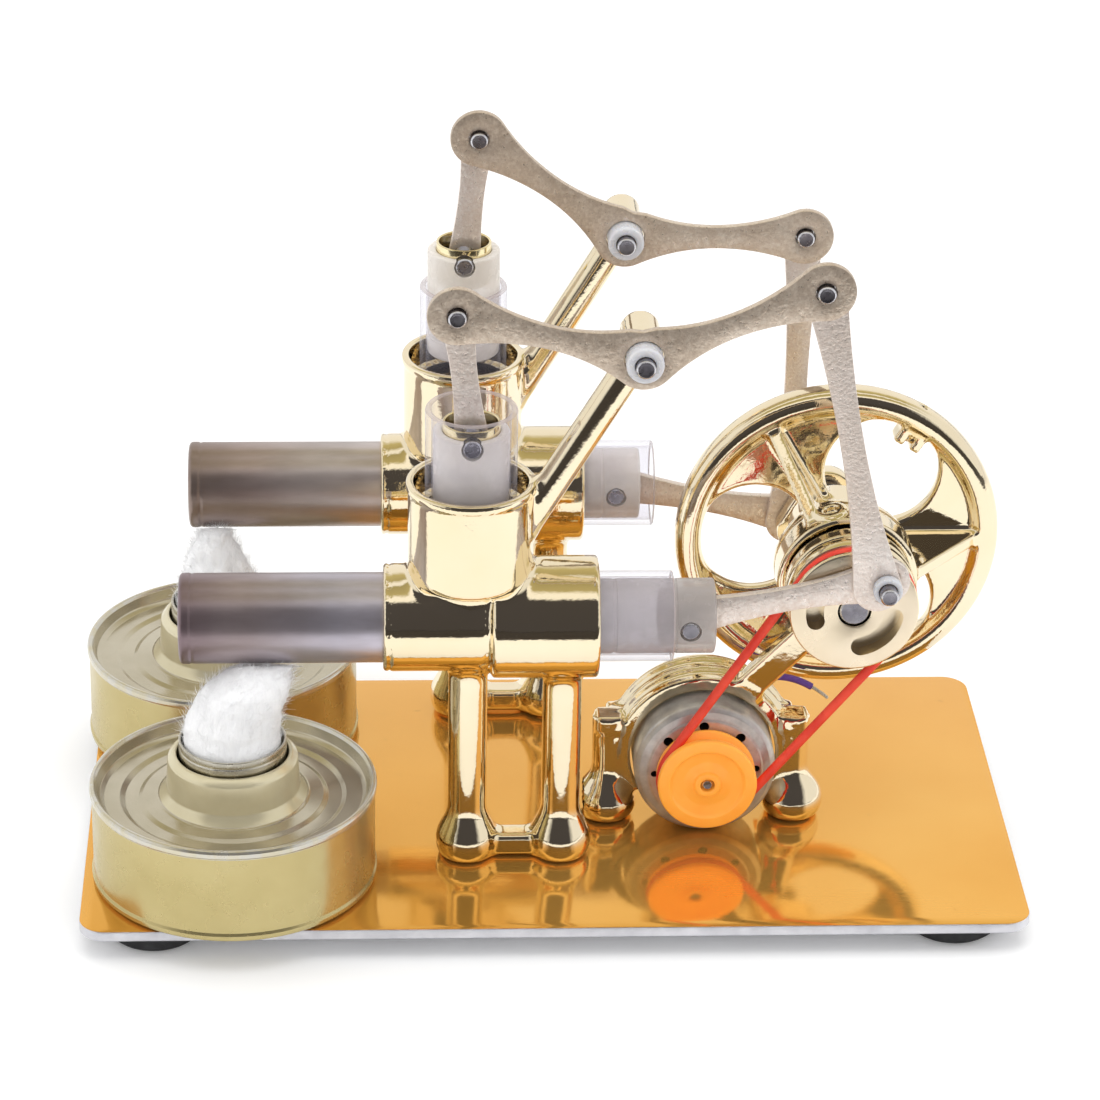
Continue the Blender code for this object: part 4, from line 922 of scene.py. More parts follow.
# ---------------------------------------------------------------- bracket
def bracket_field(points):
    """Arch over the motor on two legs, with a strut up to the shaft's bearing ring."""
    motor_x, motor_z = MOTOR
    leg_y = -5.4
    y = points[:, 1]
    r = np.hypot(points[:, 0] - motor_x, points[:, 2] - motor_z)
    ridged = 15.0 + 0.9 * bulge(y, -4.4, 0.9) + 0.9 * bulge(y, -0.6, 0.9)
    d = np.maximum(r - ridged, -7.45 - y)
    d = smax(d, y - 1.9, 0.6)
    d = smax(d, 5.6 - points[:, 2], 0.4)
    for sign, offset in ((-1, -16.6), (1, 16.0)):
        x = motor_x + offset
        d = smin(d, dome_leg(points, x, leg_y, 2.5, 5.4, 19.2), 1.3)
        cap = rbox(points, (x - sign * 0.3, leg_y, 18.4), (2.25, 2.25, 1.5), 0.5)
        d = smin(d, cap, 0.8)
        flank = rbox(points, (x - sign * 1.5, leg_y + 3.2, 12.0), (1.5, 3.0, 7.0), 0.8)
        d = smin(d, flank, 1.6)
    # strut, leaning forward as it rises to the shaft
    a, b = np.array((31.6, 22.6)), np.array(SHAFT)
    full = np.linalg.norm(b - a)
    u = (b - a) / full
    foot = np.array((a[0] + u[0] * 2.4, -6.15, a[1] + u[1] * 2.4))
    head = np.array((a[0] + u[0] * (full - 8.0), -9.75, a[1] + u[1] * (full - 8.0)))
    length = np.linalg.norm(head - foot)
    along = (head - foot) / length
    across = np.array((u[1], 0.0, -u[0]))
    rot = np.stack([across, np.cross(along, across), along], 1)
    strut = rbox(points, tuple((foot + head) / 2), (2.45, 1.55, length / 2), 0.6, rot)
    d = smin(d, strut, 1.7)
    d = smax(d, 12.62 - r, 0.25)
    d = smin(d, cyl(points, "Y", SHAFT, 11.1, -11.35, -8.25, 0.4), 1.2)
    d = smin(d, cyl(points, "Y", SHAFT, 6.5, -10.0, 1.5, 0.3), 0.8)
    return smax(d, 5.4 - np.hypot(points[:, 0] - SHAFT[0], points[:, 2] - SHAFT[1]), 0.2)


cast("bracket_casting", "bearing_bracket", bracket_field, (6.0, -12.6, -1.0),
     (62.6, 3.4, 58.4), CASTING_GRID * 0.92)


# ============================================================ base
def make_plate():
    """Rounded rectangle: gold top and upper bevel, cut edge and underside."""
    sections = ((0.30, 0.0), (0.08, -0.06), (0.0, -0.30), (0.0, -1.70),
                (0.3, -PLATE_THICK))    # inset, z
    rows, verts, faces = [], [], []
    for inset, z in sections:
        r = PLATE_CORNER - inset
        x, y = PLATE_X - inset - r, PLATE_Y - inset - r
        ring = []
        for i, (sx, sy) in enumerate(((1, 1), (-1, 1), (-1, -1), (1, -1))):
            ring += arc(sx * x, sy * y, r, math.radians(90 * i), math.radians(90 * i + 90), 14)
        rows.append(range(len(verts), len(verts) + len(ring)))
        verts += [place(px, py, z) for px, py in ring]
    n = len(rows[0])
    for a, b in zip(rows, rows[1:]):
        faces += [(a[i], b[i], b[(i + 1) % n], a[(i + 1) % n]) for i in range(n)]
    faces += [tuple(rows[0]), tuple(reversed(rows[-1]))]
    plate = piece("gold_base_plate", "base_plate", verts, faces, ["plate", "plate_edge"], 25)
    numbers = [0] * n + [1] * n * (len(rows) - 2) + [0, 1]
    for face, number in zip(plate.data.polygons, numbers):
        face.material_index = number


make_plate()
# (r, height below the plate's underside[, corner radius])
FOOT = [(0, -2.3), (4.6, -2.3, 0.3), (5.2, -3.15, 0.3), (7.2, -3.2, 0.3), (8.0, -2.5, 0.5),
        (8.0, -0.3, 0.25), (0, -0.3)]
for hand, sx in (("left", -1), ("right", 1)):
    for end, sy in (("front", -1), ("rear", 1)):
        lathe("rubber_foot_%s_%s" % (end, hand), "foot_%s_%s" % (end, hand), FOOT, "Z",
              (sx * 67.35, sy * 34.0, -PLATE_THICK), "rubber", segments=64)


# ============================================================ linkage
def meet(p0, r0, p1, r1):
    """The right-hand point at distance r0 from p0 and r1 from p1."""
    dx, dz = p1[0] - p0[0], p1[1] - p0[1]
    d = math.hypot(dx, dz)
    a = (r0 * r0 - r1 * r1 + d * d) / (2 * d)
    h = math.sqrt(max(r0 * r0 - a * a, 0))
    x, z = p0[0] + a * dx / d, p0[1] + a * dz / d
    return max(((x - h * dz / d, z + h * dx / d), (x + h * dz / d, z - h * dx / d)),
               key=lambda q: q[0])


def linkage(side):
    """Pin places (x, z) and the beam's tilt, worked out from the crank angle."""
    angle = CRANK_ANGLE + (0 if side == "front" else math.pi)
    crank = (SHAFT[0] + CRANK_R * math.cos(angle), SHAFT[1] + CRANK_R * math.sin(angle))
    right = meet(BEAM_PIVOT, BEAM_ARM, crank, LINK_L)
    tilt = math.atan2(right[1] - BEAM_PIVOT[1], right[0] - BEAM_PIVOT[0]) - BEAM_RISE
    a = math.pi - BEAM_RISE + tilt
    left = (BEAM_PIVOT[0] + BEAM_ARM * math.cos(a), BEAM_PIVOT[1] + BEAM_ARM * math.sin(a))
    hot = (crank[0] - math.sqrt(ROD_L ** 2 - (crank[1] - AXIS_Z) ** 2), AXIS_Z)
    cold = (COLD_X, left[1] - math.sqrt(COLD_L ** 2 - (left[0] - COLD_X) ** 2))
    return {"crank": crank, "right": right, "left": left, "tilt": tilt, "hot": hot,
            "cold": cold}


def make_tubes(side, y):
    # heater tube, with the small rolled shoulder at its closed end
    end = HEATER_END
    profile = [(0, end), (6.3, end, 0.4), (TUBE_R, end + 0.25, 0.7), (TUBE_R, end + 1.7, 0.1),
               (7.45, end + 2.1, 0.15), (7.55, end + 2.6, 0.2), (7.55, -18.3), (6.95, -18.3),
               (6.95, end + 1.2, 0.5), (0, end + 0.7)]
    lathe(side + "_hot_tube", side + "_heater_tube", profile, "X", (0, y, AXIS_Z),
          "heater_" + side, segments=96, sharp=50.0)
    profile = [(6.6, 19.5, 0.35), (TUBE_R, 19.5, 0.35), (TUBE_R, -1.2), (6.6, -1.2)]
    lathe(side + "_hot_glass", side + "_hot_cylinder", profile, "X", (0, y, AXIS_Z),
          ["glass", "glass_rim"], segments=96, steps=5,
          pick=lambda local, normal: 1 if abs(normal.x) > 0.3 else 0)
    profile = [(6.55, 84.0, 0.45), (TUBE_R, 84.0, 0.45), (TUBE_R, 57.8), (6.55, 57.8)]
    lathe(side + "_cold_glass", side + "_cold_cylinder", profile, "Z", (COLD_X, y, 0),
          ["glass", "glass_rim"], segments=96, steps=5,
          pick=lambda local, normal: 1 if abs(normal.z) > 0.3 else 0)


def make_hot_piston(side, y, hot, crank):
    """Grooved piston, bored for its rod, with its pin, displacer and connecting rod."""
    x, z = hot
    r = PISTON_R
    profile = [(0, -15.7), (r, -15.7, 0.4), (r, -12.9, 0.05), (6.15, -12.7, 0.05),
               (6.15, -12.3, 0.05), (r, -12.1, 0.05), (r, -2.6, 0.05), (6.22, -2.5, 0.03),
               (6.22, -2.2, 0.03), (r, -2.1, 0.05), (r, 4.3, 0.45), (4.8, 4.3, 0.25),
               (4.8, -5.0, 0.6), (0, -5.2)]
    piston = lathe(side + "_hot_plunger", side + "_hot_piston", profile, "X", (x, y, z),
                   "piston" if side == "front" else "piston_cold", segments=80)
    cross_drill(piston, x, y, z)
    pin(side + "_wrist", side + "_hot_piston_pin", x, z, 1.6, y - 6.05, y + 6.05)
    profile = [(0, -70.2), (5.7, -70.2, 0.4), (6.3, -69.6, 0.3), (6.3, -44.4, 0.3),
               (5.9, -44.0, 0.4), (1.2, -44.0, 0.3), (1.2, -16.1), (0, -16.1)]
    lathe(side + "_displacer_body", side + "_displacer", profile, "X", (x, y, z), "bearing",
          segments=48)
    dx, dz = crank[0] - x, crank[1] - z
    flat(side + "_con_rod", side + "_hot_con_rod",
         turn(bone(ROD_L, 3.4, 4.1, neck=2.1), math.atan2(dz, dx)),
         [(0, 0, 1.75), (dx, dz, 2.4)], y - 1.2, y + 0.3, "sheet", base=hot)


def make_cold_piston(side, y, cold, left):
    """Grooved piston with a gold cup standing in its top, its pin and its link."""
    x, z = cold
    r = PISTON_R
    profile = [(0, -4.8), (4.85, -4.7, 0.2), (4.85, 1.1, 0.1), (r, 1.1, 0.35),
               (r, -14.2, 0.05), (6.18, -14.3, 0.05), (6.18, -14.7, 0.05), (r, -14.8, 0.05),
               (r, -18.0, 0.4), (0, -18.0)]
    node = side + "_cold_piston"
    piston = lathe(side + "_cold_plunger", node, profile, "Z", (x, y, z), "piston_cold",
                   segments=80)
    cross_drill(piston, x, y, z)
    profile = [(0.0, -4.2), (4.32, -4.15, 0.2), (4.32, 2.6, 0.18), (4.78, 2.6, 0.18),
               (4.78, -4.6, 0.1), (0.0, -4.65)]
    cup = lathe(side + "_cold_cup", node, profile, "Z", (x, y, z), "gold_cup",
                extra_slot="gold_casting")
    cross_drill(cup, x, y, z)
    pin(side + "_gudgeon", side + "_cold_piston_pin", x, z, 1.6, y - 6.05, y + 6.05)
    dx, dz = x - left[0], z - left[1]
    flat(side + "_cold_rod", side + "_cold_link",
         turn(bone(COLD_L, 3.3, 2.9, neck=2.15), math.atan2(dz, dx)),
         [(0, 0, 1.75), (dx, dz, 2.4)], y - 2.25, y - 0.75, "sheet", base=left)


def beam_outline(tilt):
    """Two waisted arms, rising to round ends, about a round sole under the pivot."""
    end_r, crown = 4.9, 4.75
    top, _, end_angle = bone_half(BEAM_ARM, 5.3, end_r, neck=1.95, steps=18)
    upper = [q for q in turn(top, BEAM_RISE) if q[0] > 1.6]
    lower = turn([(x, -z) for x, z in top], BEAM_RISE)
    lobe = turn(arc(BEAM_ARM, 0, end_r, end_angle, -end_angle, 30)[1:-1], BEAM_RISE)
    start = math.atan2(lower[0][1], lower[0][0])
    sole = arc(0, 0, math.hypot(*lower[0]), -math.pi - start, start, 22)[1:-1]
    half = [(0.0, crown)] + upper + lobe + lower[::-1]
    return turn(half + sole[::-1] + [(-x, z) for x, z in half[:0:-1]], tilt)


def make_beam(side, y, tilt, left, right):
    ends = [turn([(BEAM_ARM * math.cos(a), BEAM_ARM * math.sin(a))], tilt)[0]
            for a in (math.pi - BEAM_RISE, BEAM_RISE)]
    flat(side + "_rocking_beam", side + "_beam", beam_outline(tilt),
         [(0, 0, 3.25)] + [(x, z, 1.7) for x, z in ends], y - 5.05, y - 3.55, "sheet_beam",
         base=BEAM_PIVOT, bevel=0.2)
    pin(side + "_beam_axle", side + "_beam_pivot_pin", *BEAM_PIVOT, 1.6, y - 9.2, y + 6.0)
    profile = [(1.72, -3.5, 0.1), (3.1, -3.5, 0.1), (3.1, -7.3, 0.2), (2.95, -7.8, 0.35),
               (1.72, -7.8, 0.15)]
    lathe(side + "_beam_sleeve", side + "_beam_bush", profile, "Y",
          (BEAM_PIVOT[0], y, BEAM_PIVOT[1]), "nylon", segments=64)
    pin(side + "_beam_pin_l", side + "_beam_end_pin_left", *left, 1.5, y - 6.2, y - 0.6)
    pin(side + "_beam_pin_r", side + "_beam_end_pin_right", *right, 1.5, y - 6.2, y - 1.4)


# y from the unit's middle: both ends of the crank pin, both ends of its bush
CRANK_PIN_Y = {"front": (-7.15, 0.35, -5.0, -3.3), "rear": (-3.15, 4.2, 0.55, 2.2)}


def make_crank_link(side, y, right, crank):
    """Link from the beam down to the crank pin; its lower lobe sits a little off the pin."""
    offset = 1.6
    dx, dz = crank[0] - right[0], crank[1] - right[1]
    line = math.atan2(dz, dx)
    lobe = (crank[0] + offset * math.sin(line) - right[0],
            crank[1] - offset * math.cos(line) - right[1])
    flat(side + "_long_link", side + "_crank_link",
         turn(bone(math.hypot(*lobe), 3.6, 4.1, neck=1.95), math.atan2(lobe[1], lobe[0])),
         [(0, 0, 1.7), (dx, dz, 1.7)], y - 3.15, y - 1.65, "sheet", base=right)
    pin_low, pin_high, low, high = CRANK_PIN_Y[side]
    pin(side + "_crank_stud", side + "_crank_pin", *crank, 1.5, y + pin_low, y + pin_high)
    profile = [(1.62, high, 0.1), (2.45, high, 0.2), (2.45, low, 0.35), (1.62, low, 0.1)]
    lathe(side + "_crank_sleeve", side + "_crank_pin_bush", profile, "Y",
          (crank[0], y, crank[1]), "nylon", segments=56)


for side in SIDES:
    unit_y = UNIT_Y[side]
    pins = linkage(side)
    make_tubes(side, unit_y)
    make_hot_piston(side, unit_y, pins["hot"], pins["crank"])
    make_cold_piston(side, unit_y, pins["cold"], pins["left"])
    make_beam(side, unit_y, pins["tilt"], pins["left"], pins["right"])
    make_crank_link(side, unit_y, pins["right"], pins["crank"])


# ============================================================ shaft line
SHAFT_AT = (SHAFT[0], 0.0, SHAFT[1])
PULLEY_FRONT = -17.85


def slot_cutter(start, end, inner, outer, y0, y1):
    """Curved slot about the shaft with round ends, angles in degrees."""
    a, b = math.radians(start), math.radians(end)
    mid, half = (inner + outer) / 2, (outer - inner) / 2
    outline = arc(0, 0, outer, a, b, 26)
    outline += arc(mid * math.cos(b), mid * math.sin(b), half, b, b + math.pi, 14)[1:-1]
    outline += arc(0, 0, inner, b, a, 26)
    outline += arc(mid * math.cos(a), mid * math.sin(a), half, a + math.pi,
                   a + 2 * math.pi, 14)[1:-1]
    n = len(outline)
    verts = [place(SHAFT[0] + x, y, SHAFT[1] + z) for y in (y0, y1) for x, z in outline]
    near, far = list(range(n)), list(range(n, 2 * n))
    return verts, band(near, far) + [tuple(near[::-1]), tuple(far)]


def make_crank_pulley():
    """Belt groove between two rims, with two curved slots in the front face."""
    r = 10.9
    profile = [(2.8, PULLEY_FRONT, 0.2), (r, PULLEY_FRONT, 0.35), (r, -16.85, 0.15),
               (9.0, -16.3, 0.5), (8.85, BELT_Y, 0.5), (9.0, -14.9, 0.5), (r, -14.3, 0.15),
               (r + 0.2, -13.2, 0.2), (r + 0.25, -12.0, 0.3), (2.8, -12.0, 0.1)]
    pulley = lathe("slotted_pulley", "crank_pulley", profile, "Y", SHAFT_AT,
                   ["cast", "cast_face"], segments=128, rounding=0.15, sharp=32.0)
    for slot in ((-78, -10, 5.0, 8.4), (152, 196, 5.2, 8.2)):   # start, end, inner, outer
        cut(pulley, [slot_cutter(*slot, y0=-20.0, y1=-14.9)])
    smooth(pulley.data, 32)
    for face in pulley.data.polygons:
        face.material_index = 1 if abs(face.normal.y) > 0.9 else 0


def make_crank_arm():
    pin_r, hub_r = 4.0, 5.0
    lean = math.acos((hub_r - pin_r) / CRANK_R)
    outline = arc(CRANK_R, 0, pin_r, -lean, lean, 30)
    outline += arc(0, 0, hub_r, lean, 2 * math.pi - lean, 44)
    flat("crank_arm", "rear_crank_arm", turn(outline, CRANK_ANGLE + math.pi),
         [(0, 0, 2.75)], 25.6, 29.1, "cast", base=SHAFT, bevel=0.35)


pin("main_shaft", "crankshaft", *SHAFT, 2.5, PULLEY_FRONT, 29.1)
make_crank_pulley()
make_crank_arm()
lathe("bearing_sleeve", "shaft_bearing",
      [(2.8, -11.0, 0.1), (5.0, -11.0, 0.3), (5.0, 1.2, 0.3), (2.8, 1.2, 0.1)],
      "Y", SHAFT_AT, "bearing", segments=64)

# ============================================================ motor
MOTOR_AT = (MOTOR[0], 0.0, MOTOR[1])


def make_motor():
    profile = [(1.4, -13.5, 0.05), (3.0, -13.5, 0.3), (3.1, -13.15, 0.15), (9.7, -13.2, 0.3),
               (10.0, -12.9, 0.2), (11.3, -12.75, 0.3), (12.2, -12.0, 0.9),
               (12.2, -0.9, 0.9), (5.0, -0.9, 0.3), (4.8, -0.5, 0.2), (1.4, -0.5, 0.1)]
    can = lathe("motor_body", "motor_can", profile, "Y", MOTOR_AT, ["can", "vent"],
                segments=96, rounding=0.1)
    vents = []
    for i in range(8):
        a = math.radians(3.0 + 45.0 * i)
        vents.append(round_cutter(MOTOR[0] + 8.8 * math.cos(a), MOTOR[1] + 8.8 * math.sin(a),
                                  0.85 if i % 4 else 0.6, -15.0, -10.0, segments=20))
    # the cut vent holes are lined with the near-black painted shadow
    cut(can, vents, material="vent")
    smooth(can.data, 35)
    pin("rotor_shaft", "motor_shaft", *MOTOR, 1.0, -18.0, 0.3)
    profile = [(1.25, -18.35, 0.1), (2.2, -18.35, 0.3), (2.4, -17.75, 0.15),
               (4.2, -17.55, 0.3), (6.1, -17.7, 0.3), (6.5, -18.2, 0.2), (8.3, -18.2, 0.3),
               (8.5, -17.9, 0.15), (8.5, -16.95, 0.15), (6.75, -16.2, 0.5),
               (6.6, BELT_Y, 0.4), (6.75, -15.0, 0.5), (8.5, -14.3, 0.15),
               (8.5, -13.6, 0.25), (1.25, -13.6, 0.1)]
    lathe("orange_pulley", "motor_pulley", profile, "Y", MOTOR_AT, "orange", segments=96,
          rounding=0.1)


def tube(name, node, path, r, mat, sides, closed=False, extra_slot=None):
    """Round section swept along a path of frame points."""
    count = len(path)
    verts, faces = [], []
    for i, point in enumerate(path):
        if closed:
            along = path[(i + 1) % count] - path[i - 1]
        else:
            along = path[min(i + 1, count - 1)] - path[max(i - 1, 0)]
        along.normalize()
        across = along.cross(Vector((0, 1, 0)))
        across = across.normalized() if across.length > 1e-6 else Vector((1, 0, 0))
        other = across.cross(along).normalized()
        for j in range(sides):
            a = 2 * math.pi * j / sides
            verts.append(point + (across * math.cos(a) + other * math.sin(a)) * r * MM)
    for i in range(count if closed else count - 1):
        here, ahead = i * sides, ((i + 1) % count) * sides
        for j in range(sides):
            k = (j + 1) % sides
            faces.append((here + j, ahead + j, ahead + k, here + k))
    if not closed:
        faces.append(tuple(range(sides)))
        faces.append(tuple(reversed(range((count - 1) * sides, count * sides))))
    ob = piece(name, node, verts, faces, mat, 50, extra_slot)
    turn_outward(ob.data)


def make_belt():
    """Two arcs round the pulleys, joined by straight runs."""
    shaft_r, motor_r = 10.15, 7.85
    line = Vector((MOTOR[0] - SHAFT[0], MOTOR[1] - SHAFT[1]))
    aim, lean = math.atan2(line.y, line.x), math.acos((shaft_r - motor_r) / line.length)
    round_shaft = arc(*SHAFT, shaft_r, aim + lean, aim - lean + 2 * math.pi, 60)
    round_motor = arc(*MOTOR, motor_r, aim - lean, aim + lean, 40)

    def straight(a, b):
        return [(a[0] + (b[0] - a[0]) * t / 12, a[1] + (b[1] - a[1]) * t / 12)
                for t in range(1, 12)]
    path = (round_shaft + straight(round_shaft[-1], round_motor[0])
            + round_motor + straight(round_motor[-1], round_shaft[0]))
    tube("red_belt", "drive_belt", [place(x, BELT_Y, z) for x, z in path], 0.82, "belt",
         sides=18, closed=True)


def make_lead():
    """Insulated lead on a Bezier curve, with five twisted strands at its bare end."""
    control = [Vector(q) for q in ((31.5, -0.5, 17.0), (32.5, 2.4, 20.0), (38.0, 4.6, 23.6),
                                   (43.4, 4.4, 22.2), (49.2, 4.0, 17.4))]
    steps, bare_from = 40, 36
    path = []
    for i in range(steps + 1):
        points = control
        while len(points) > 1:
            points = [a.lerp(b, i / steps) for a, b in zip(points, points[1:])]
        path.append(points[0])
    tube("lead_insulation", "motor_lead", [place(*q) for q in path[:bare_from]], 0.62,
         "lead", sides=14)
    for j in range(5):
        strand = []
        for i, q in enumerate(path[bare_from - 2:]):
            a = 2 * math.pi * j / 5 + i * 0.5
            strand.append(place(q.x + 0.17 * math.cos(a), q.y + 0.17 * math.sin(a),
                                q.z + 0.14 * math.sin(a)))
        tube("lead_strand_%d" % j, "motor_lead", strand, 0.13, "wire", sides=8,
             extra_slot="purple_lead")


make_motor()
make_belt()
make_lead()


# ============================================================ burners
def make_can(side, x, y):
    """Tin with a rolled foot and rim, a grooved lid and a raised neck."""
    r = CAN_R
    profile = [
        (0, 0.9), (r - 2.4, 0.9, 0.4), (r - 1.0, 1.8, 0.5), (r - 0.95, 13.6, 0.2),
        (12.4, 13.8, 0.3), (10.75, 16.0, 0.8), (10.4, 21.4, 0.8), (9.42, 22.6, 0.3),
        (9.42, 23.3, 0.25), (10.05, 23.25, 0.4), (10.95, 22.3, 0.9), (11.25, 17.0, 0.8),
        (12.7, 15.15, 0.9), (15.2, 15.0, 0.5), (16.0, 14.6, 0.5), (18.2, 14.55, 0.5),
        (19.1, 15.0, 0.5), (r - 2.5, 15.05, 0.4), (r - 1.6, 15.5, 0.5), (r - 1.15, 17.3, 0.4),
        (r - 0.75, 17.8, 0.3), (r - 0.2, 17.75, 0.35), (r, 17.2, 0.3), (r - 0.05, 16.5, 0.3),
        (r - 0.35, 16.1, 0.2), (r - 0.35, 2.0, 0.2), (r - 0.02, 1.6, 0.3),
        (r - 0.1, 0.75, 0.4), (r - 0.8, 0.3, 0.4), (r - 2.6, 0.35, 0.3), (r - 3.2, 0.6, 0.3),
        (0, 0.5)]

    def zone(local, normal):
        out = math.hypot(local[0], local[1])
        if out > r - 1.35 and local[2] > 16.0:
            return 2
        # the neck takes the lighter copy of the lacquer, a painted highlight
        if local[2] > 15.6 and out < 12.8:
            return 3
        return 1 if local[2] > 14.3 and out < r - 1.3 else 0
    lathe(side + "_tin", side + "_burner_can", profile, "Z", (x, y, 0),
          ["tin", "tin_lid", "tin_rim", "tin_neck_painted_highlight"], segments=160, rounding=0.1, pick=zone,
          sharp=45.0)


def make_wick_sleeve(side, x, y):
    """Thin rolled strip with a lapped seam, slightly out of round."""
    profile = [(8.65, 25.8, 0.12), (9.05, 25.8, 0.15), (9.05, 24.9, 0.2), (8.98, 24.6, 0.2),
               (9.05, 24.3, 0.2), (9.05, 9.0), (8.7, 9.0)]
    sleeve = lathe(side + "_wick_holder", side + "_wick_sleeve", profile, "Z", (x, y, 0),
                   "sleeve", segments=120, rounding=0.0, steps=4, sharp=50.0)
    for vert in sleeve.data.vertices:
        px, py = (vert.co.x - ORIGIN[0]) / MM - x, (vert.co.y - ORIGIN[1]) / MM - y
        a = math.atan2(py, px)
        k = 1 + 0.011 * math.exp(-((a + 1.9) / 0.05) ** 2) + 0.004 * math.sin(3 * a + 0.6)
        vert.co.x, vert.co.y = ORIGIN[0] + (x + px * k) * MM, ORIGIN[1] + (y + py * k) * MM


def layered_noise(points, seed, scale, octaves):
    """Smooth value noise summed over octaves, worked out here so that it repeats exactly."""
    table = np.random.default_rng(seed).random((32, 32, 32)) * 2 - 1
    out = np.zeros(len(points))
    strength = 1.0
    for _ in range(octaves):
        scaled = points * scale
        cell = np.floor(scaled).astype(int)
        f = scaled - cell
        f = f * f * (3 - 2 * f)
        for corner in itertools.product((0, 1), repeat=3):
            wx, wy, wz = [f[:, i] if corner[i] else 1 - f[:, i] for i in range(3)]
            i, j, k = ((cell + corner) % 32).T
            out += strength * (wx * wy * wz) * table[i, j, k]
        strength *= 0.5
        scale *= 2.03
    return out


# height, radius, centre x and centre y of the cotton's sections, from the burner's axis
WICK_STATIONS = {
    "front": [
        (4.0, 7.8, 0, 0), (22.0, 8.1, 0.0, 0), (25.8, 8.15, 0.0, 0), (29.0, 7.8, 0.3, -0.2),
        (31.0, 7.4, 0.7, -0.1), (34.0, 7.1, 1.8, 0), (35.8, 6.7, 2.8, 0.1),
        (37.4, 5.7, 4.0, 0.2), (38.6, 4.2, 5.0, 0.2), (39.4, 2.5, 5.7, 0.2),
        (39.9, 0.15, 6.0, 0.2)],
    "rear": [
        (4.0, 7.8, 0, 0), (22.0, 8.0, 0.0, 0), (25.8, 7.9, -0.1, 0), (29.0, 6.7, -0.4, 0),
        (31.5, 5.6, -0.8, 0), (34.0, 4.6, -0.9, 0), (36.5, 3.5, -0.9, 0),
        (38.4, 2.3, -0.8, 0), (39.6, 1.2, -0.7, 0), (40.2, 0.15, -0.6, 0)],
}
WICK_SEED = {"front": 11, "rear": 23}


def wick_body(stations, seed, tube_y):
    """Lofted and roughened tuft: its points, faces and outward directions."""
    heights, radii, xs, ys = stations.T
    n = 72
    levels = np.concatenate([np.linspace(4, 19, 10)[:-1], np.linspace(19, heights[-1], 96)])
    angles = np.linspace(0, 2 * math.pi, n, endpoint=False)
    verts, faces = [], []
    for z in levels:
        r, cx, cy = [np.interp(z, heights, column) for column in (radii, xs, ys)]
        if z > heights[-3]:     # close over in a dome
            t = (z - heights[-3]) / (heights[-1] - heights[-3])
            r = radii[-3] * math.sqrt(max(1 - t * t, 0.0)) + 0.05
        verts += [(cx + r * math.cos(a), cy + r * 0.94 * math.sin(a), z) for a in angles]
    last = (len(levels) - 1) * n
    for i in range(0, last, n):
        faces += band(range(i, i + n), range(i + n, i + 2 * n))
    faces.append(tuple(reversed(range(n))))
    faces.append(tuple(range(last, last + n)))
    verts = np.array(verts)
    z = verts[:, 2]
    out = verts - np.stack([np.interp(z, heights, xs), np.interp(z, heights, ys), z], 1)
    radius = np.linalg.norm(out[:, :2], axis=1)
    unit = out / np.maximum(radius, 1e-6)[:, None]
    free = np.clip((z - 25.4) / 2.5, 0, 1)
    lump = layered_noise(verts * (1, 1, 0.6), seed, scale=0.20, octaves=3) * 0.8
    strand = layered_noise(verts * (1, 1, 0.28), seed + 1, scale=1.1, octaves=3) * 0.20
    verts = verts + unit * ((lump + strand) * free * np.clip(radius / 2.0, 0, 1))[:, None]
    # below the sleeve's lip the cotton stays inside it
    out = np.hypot(verts[:, 0], verts[:, 1])
    shrink = np.where((verts[:, 2] < 26.2) & (out > 8.35), 8.35 / np.maximum(out, 1e-6), 1.0)
    verts[:, 0] *= shrink
    verts[:, 1] *= shrink
    # the tuft keeps clear of the tube over it
    clear = 8.3
    dy, dz = verts[:, 1] - tube_y, verts[:, 2] - AXIS_Z
    away = np.hypot(dy, dz)
    near = away < clear
    verts[near, 1] = tube_y + dy[near] / away[near] * clear
    verts[near, 2] = AXIS_Z + dz[near] / away[near] * clear
    return verts, faces, unit


def wick_fibres(body, unit, stations, seed, tube_y, first):
    """Stray fibres that lie along the tuft and lift off it here and there. Their vertex
    numbers start at first."""
    heights, xs = stations[:, 0], stations[:, 2]
    rng = np.random.default_rng(seed)
    roots = rng.choice(np.where(body[:, 2] > 25.0)[0], 2600)
    verts, faces = [], []
    segments, clear, sleeve_r = 6, 8.15, 8.3
    for root in roots:
        p = body[root]
        lean = np.interp(p[2] + 1, heights, xs) - np.interp(p[2], heights, xs)
        d = (np.array([lean, 0, 1.0]) * rng.uniform(0.5, 1.0)
             + unit[root] * rng.uniform(0.0, 0.55) + rng.normal(0, 0.30, 3))
        d /= np.linalg.norm(d)
        curl = rng.normal(0, 0.22, 3)
        length = rng.uniform(0.9, 2.8)
        start = first + len(verts)
        width = rng.uniform(0.022, 0.042)
        pos = p - unit[root] * 0.15
        across = np.cross(d, unit[root] + 1e-3)
        across /= max(np.linalg.norm(across), 1e-6)
        for i in range(segments + 1):
            r = width * (1 - 0.75 * i / segments)
            other = np.cross(across, d)
            for a in (0, 2.094, 4.189):
                verts.append(pos + (across * math.cos(a) + other * math.sin(a)) * r)
            pos = pos + d * length / segments
            dy, dz = pos[1] - tube_y, pos[2] - AXIS_Z
            away = math.hypot(dy, dz)
            if away < clear:
                pos[1], pos[2] = tube_y + dy / away * clear, AXIS_Z + dz / away * clear
            if pos[2] < 26.3:
                out = math.hypot(pos[0], pos[1])
                if out > sleeve_r:
                    pos[0], pos[1] = pos[0] * sleeve_r / out, pos[1] * sleeve_r / out
            d = d + curl / segments * 2
            d /= np.linalg.norm(d)
        end = start + segments * 3
        for i in range(start, end, 3):
            faces += band(range(i, i + 3), range(i + 3, i + 6))
        faces.append((start + 2, start + 1, start))
        faces.append((end, end + 1, end + 2))
    return verts, faces


